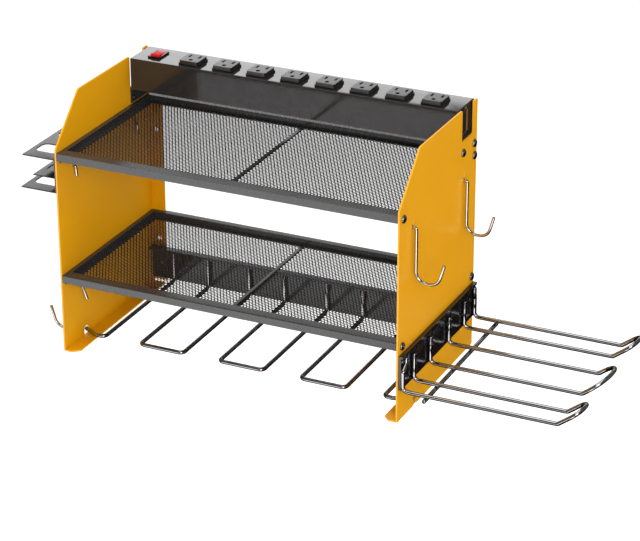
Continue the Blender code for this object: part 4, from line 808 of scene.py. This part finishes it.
# %% The rule that sets screws on points
screw_rule, given = new_rule("screws_on_points", Screw="Object", Finish="Material")
outward = add_node(screw_rule, "GeometryNodeInputNamedAttribute", {"Name": "outward"},
                   data_type="FLOAT_VECTOR").outputs[0]
twist = add_node(screw_rule, "GeometryNodeInputNamedAttribute", {"Name": "twist"},
                 data_type="FLOAT").outputs[0]
own_turn = add_node(screw_rule, "FunctionNodeAxisAngleToRotation",
                    {"Axis": (0, 0, 1), "Angle": twist}).outputs[0]
aimed = add_node(screw_rule, "FunctionNodeAlignRotationToVector", {"Vector": outward}, axis="Z").outputs[0]
turned = add_node(screw_rule, "FunctionNodeRotateRotation", {"Rotation": aimed, "Rotate By": own_turn},
                  rotation_space="LOCAL").outputs[0]
one_screw = add_node(screw_rule, "GeometryNodeObjectInfo",
                     {"Object": given.outputs["Screw"]}).outputs["Geometry"]
copies = add_node(screw_rule, "GeometryNodeInstanceOnPoints", {
    "Points": given.outputs["Geometry"], "Instance": one_screw, "Rotation": turned}).outputs[0]
end_rule(screw_rule, copies, given.outputs["Finish"])

# %% [markdown]
# A screw's place is read from its CAD node: it sits in the middle of that node's box, with its
# head under the box's outer face. Each one is turned a little further than the last, because
# no two are driven home at the same angle.

# %% Screws of the panels and racks
FIRST_TWIST, NEXT_TWIST = 0.4, 1.1


def screw_seat(node, outward, head_height):
    """Where the head of a screw meets the sheet, in the frame."""
    low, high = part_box(node)
    outer = abs((high - low).dot(outward)) / 2
    return (low + high) / 2 + outward * (outer - head_height * MM)


def screws(name, screw, head_height, outward, screw_nodes):
    """One piece of several screws that all point the same way."""
    outward = Vector(outward)
    mesh = bpy.data.meshes.new(name)
    mesh.from_pydata([screw_seat(node, outward, head_height) for node in screw_nodes], [], [])
    count = len(screw_nodes)
    mesh.attributes.new("outward", "FLOAT_VECTOR", "POINT").data.foreach_set("vector", [*outward] * count)
    mesh.attributes.new("twist", "FLOAT", "POINT").data.foreach_set(
        "value", [FIRST_TWIST + NEXT_TWIST * index for index in range(count)])
    obj = grown(name, mesh, screw_rule, {"Screw": screw, "Finish": plated_screw})
    hand_over(obj, plated_screw, *screw_nodes)


for side, side_name in ((1, "right"), (-1, "left")):
    held = [f"{part}_screw_{side_name}_{end}"
            for part in ("upper_shelf", "lower_shelf", "strip") for end in ("front", "rear")]
    screws("screws_" + side_name, pan_screw, PAN_HEAD_HEIGHT, (side, 0, 0), held)
screws("side_rack_screws", small_screw, SMALL_HEAD_HEIGHT, (1, 0, 0),
       ["side_rack_screw_front", "side_rack_screw_rear"])
screws("under_rack_screws", small_screw, SMALL_HEAD_HEIGHT, (0, -1, 0),
       ["under_rack_screw_right", "under_rack_screw_left"])
for screw in (pan_screw, small_screw):
    bpy.data.objects.remove(screw)

# %% [markdown]
# ### Outlets
#
# The eight outlets are the same moulding, spaced evenly along the strip. One is rounded from the
# CAD solid and moved to the origin, and a rule sets it along a straight line of points.

# %% The rule for a row of equal mouldings
row_rule, given = new_rule("row_of_outlets", Moulding="Object", Count="Int", Start="Vector", Step="Vector",
                           Finish="Material")
row = given.outputs
points = add_node(row_rule, "GeometryNodeMeshLine",
                  {"Count": row["Count"], "Start Location": row["Start"], "Offset": row["Step"]}).outputs[0]
moulded = add_node(row_rule, "GeometryNodeObjectInfo", {"Object": row["Moulding"]}).outputs["Geometry"]
copies = add_node(row_rule, "GeometryNodeInstanceOnPoints",
                  {"Points": points, "Instance": moulded}).outputs[0]
end_rule(row_rule, copies, row["Finish"])

# %% Outlets along the strip
OUTLETS = [f"outlet_{number}" for number in range(1, 9)]
OUTLET_EDGE, OUTLET_RIM = 0.3, 0.4
FACE_TOP, BASE_TOP = STRIP_TOP + 5.4, STRIP_TOP + 2.2

start = sum(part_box("outlet_1"), Vector()) / 2
start.z = place(0.0, 0.0, STRIP_TOP).z
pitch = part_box("outlet_2")[0].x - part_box("outlet_1")[0].x
rims = [(lambda x, y, z: near(z, FACE_TOP) or near(z, BASE_TOP), OUTLET_RIM)]
moulding = rounded_copy("outlet_1", OUTLET_EDGE, rims)
moulding.data.transform(Matrix.Translation(-start))
outlets = grown("outlets", one_point("outlets"), row_rule,
                {"Moulding": moulding, "Count": len(OUTLETS), "Start": tuple(start),
                 "Step": (pitch, 0.0, 0.0), "Finish": outlet_plastic})
bpy.data.objects.remove(moulding)
hand_over(outlets, outlet_plastic, *OUTLETS)

# %% [markdown]
# ## Studio
#
# The photograph shows the rack on white. Its highlights suggest soft boxes above and in front, and
# its dark edges suggest dark cards around the rack. Cards are what give chrome its dark edges and
# gloss black its depth: a mirror shows nothing but what stands opposite to it.
#
# So the room here is a plain pale light, which mirrors see dimmer than it is, the floor is white
# paper, and a few cards lie where only a mirror can see them. The paper is bright enough to be
# white for the camera, and it keeps the rack's shadow.

# %% The room
FLOOR = -0.9
LIGHT_ON_SURFACES, LIGHT_SEEN, LIGHT_IN_MIRRORS = 0.75, 1.0, 0.2


def seen_directly(tree):
    """One for the rays that look at a background: camera, mirror and glass."""
    rays = add_node(tree, "ShaderNodeLightPath")
    seen = rays.outputs["Is Camera Ray"]
    for kind in ("Is Glossy Ray", "Is Transmission Ray"):
        seen = add_node(tree, "ShaderNodeMath", {0: seen, 1: rays.outputs[kind]},
                        operation="MAXIMUM").outputs[0]
    return seen


room = bpy.data.worlds.new("studio")
room.use_nodes = True
tree = room.node_tree
rays = add_node(tree, "ShaderNodeLightPath").outputs
lit = add_node(tree, "ShaderNodeMapRange", {
    "Value": seen_directly(tree), "To Min": LIGHT_ON_SURFACES, "To Max": LIGHT_SEEN}).outputs[0]
strength = add_node(tree, "ShaderNodeMapRange", {
    "Value": rays["Is Glossy Ray"], "To Min": lit, "To Max": LIGHT_IN_MIRRORS}).outputs[0]
tree.links.new(strength, tree.nodes["Background"].inputs["Strength"])
tree.nodes["Background"].inputs["Color"].default_value = WHITE
bpy.context.scene.world = room
print("Studio:", room.name)

# %% The floor of white paper
PAPER_GRAIN_MM = 25
PAPER_ROUGHNESS, PAPER_GLOW = 0.9, 0.35
FLOOR_REACH = 20

paper = bpy.data.materials.new("white_paper")
paper.use_nodes = True
tree = paper.node_tree
shader = tree.nodes["Principled BSDF"]
own = add_node(tree, "ShaderNodeTexCoord").outputs["Object"]
grain = add_node(tree, "ShaderNodeTexNoise", {"Vector": own, "Scale": 1 / (PAPER_GRAIN_MM * MM)})
tint = add_node(tree, "ShaderNodeMix", {"Factor": grain.outputs["Fac"]}, data_type="RGBA")
tint.inputs["A"].default_value = linear("#F2F2F2")
tint.inputs["B"].default_value = linear("#F6F6F6")
tree.links.new(tint.outputs["Result"], shader.inputs["Base Color"])
shader.inputs["Roughness"].default_value = PAPER_ROUGHNESS
shader.inputs["Emission Color"].default_value = WHITE
glow = add_node(tree, "ShaderNodeMath", {0: seen_directly(tree), 1: PAPER_GLOW},
                operation="MULTIPLY").outputs[0]
tree.links.new(glow, shader.inputs["Emission Strength"])


def card(name, outline, height, material):
    """A level card with the given outline, in metres, as part of the studio."""
    mesh = bpy.data.meshes.new(name)
    mesh.from_pydata([(x, y, height) for x, y in outline], [], [tuple(range(len(outline)))])
    mesh.materials.append(material)
    obj = new_object(name, mesh)
    return obj


card("pale_floor", [(u * FLOOR_REACH, v * FLOOR_REACH) for u, v in QUADRANTS], FLOOR, paper)
print("Floor at", FLOOR, "m")

# %% [markdown]
# A dark cloth lies on the paper all round the rack, apart from a gap towards the camera. Two
# bright cards lie on the paper in front. An upright wire mirrors the right one as its white middle
# line and the cloth as its dark edges. The left one lies where every face that looks forward
# mirrors it: it gives the shelves' front faces their even grey and the yellow sheets' edges their
# pale line. None of them is seen by the camera or throws light.

# %% Cards that only mirrors see
CLOTH_CENTRE = (0.15, -1.2)
CLOTH_RADIUS, CLOTH_FIRST_DEG, CLOTH_LAST_DEG = 12.0, 62.0, 300.0
CLOTH_LIFT, CARD_LIFT = 0.02, 0.04
RIGHT_CARD = ([(0.30, -1.25), (0.95, -3.1), (2.0, -2.4), (0.80, -1.0)], 3.6)
LEFT_CARD = ([(-0.25, -1.15), (-1.45, -1.15), (-1.9, -2.9), (-0.45, -2.75)], 2.9)


def dark_cloth(name, shade):
    """A matt dark material for a card."""
    material = bpy.data.materials.new(name)
    material.use_nodes = True
    cloth = material.node_tree.nodes["Principled BSDF"]
    cloth.inputs["Base Color"].default_value = linear(shade)
    cloth.inputs["Roughness"].default_value = 1.0
    cloth.inputs["Specular IOR Level"].default_value = 0.0
    return material


def shining_card(name, radiance):
    """A material that gives off an even white light."""
    material = bpy.data.materials.new(name)
    material.use_nodes = True
    sheet = material.node_tree.nodes["Principled BSDF"]
    sheet.inputs["Emission Color"].default_value = WHITE
    sheet.inputs["Emission Strength"].default_value = radiance
    return material


def mirror_only(obj):
    """Leaves an object to mirror rays alone."""
    obj.visible_camera = False
    obj.visible_diffuse = False
    obj.visible_transmission = False
    obj.visible_shadow = False
    obj.visible_volume_scatter = False


def sector(centre, radius, first_deg, last_deg, steps=24):
    """A fan of a disc; angles run from straight in front of the rack towards the right."""
    x, y = centre
    angles = [math.radians(first_deg + (last_deg - first_deg) * step / steps) for step in range(steps + 1)]
    return [centre] + [(x + radius * math.sin(a), y - radius * math.cos(a)) for a in angles]


fan = sector(CLOTH_CENTRE, CLOTH_RADIUS, CLOTH_FIRST_DEG, CLOTH_LAST_DEG)
mirror_only(card("cloth_on_floor", fan, FLOOR + CLOTH_LIFT, dark_cloth("black_cloth", "#0C0B0B")))
for name, (outline, radiance) in (("bright_card_right", RIGHT_CARD), ("bright_card_left", LEFT_CARD)):
    mirror_only(card(name, outline, FLOOR + CARD_LIFT, shining_card(name, radiance)))
    print(name, "has radiance", radiance)

# %% [markdown]
# The large box overhead is the main light, and draws the white line along the top of each rod.
# A small strong box at the front right lights the right panel and the edges that face forward.
# A long low one far behind stands opposite to the camera's look at the strip's top, which
# therefore shines light grey.

# %% Soft boxes
def soft_box(name, position, target, size, radiance):
    """A rectangular lamp that faces a point; its power follows from its area and radiance."""
    data = bpy.data.lights.new(name, "AREA")
    data.shape = "RECTANGLE"
    data.size, data.size_y = size
    data.energy = radiance * math.pi * size[0] * size[1]
    lamp = bpy.data.objects.new(name, data)
    bpy.context.scene.collection.objects.link(lamp)
    lamp.location = position
    lamp.rotation_euler = (Vector(target) - Vector(position)).to_track_quat("-Z", "Y").to_euler()
    lamp.visible_camera = False


soft_box("overhead_box", position=(-0.3, -0.5, 2.3), target=(0.0, -0.3, 0.0),
         size=(2.8, 1.4), radiance=2.6)
soft_box("front_box", position=(1.8, -2.5, 1.0), target=(0.1, -0.1, 0.0),
         size=(1.2, 1.2), radiance=10.0)
soft_box("rear_box", position=(-1.65, 3.6, 1.40), target=(0.0, 0.0, 0.1),
         size=(3.0, 0.46), radiance=2.5)
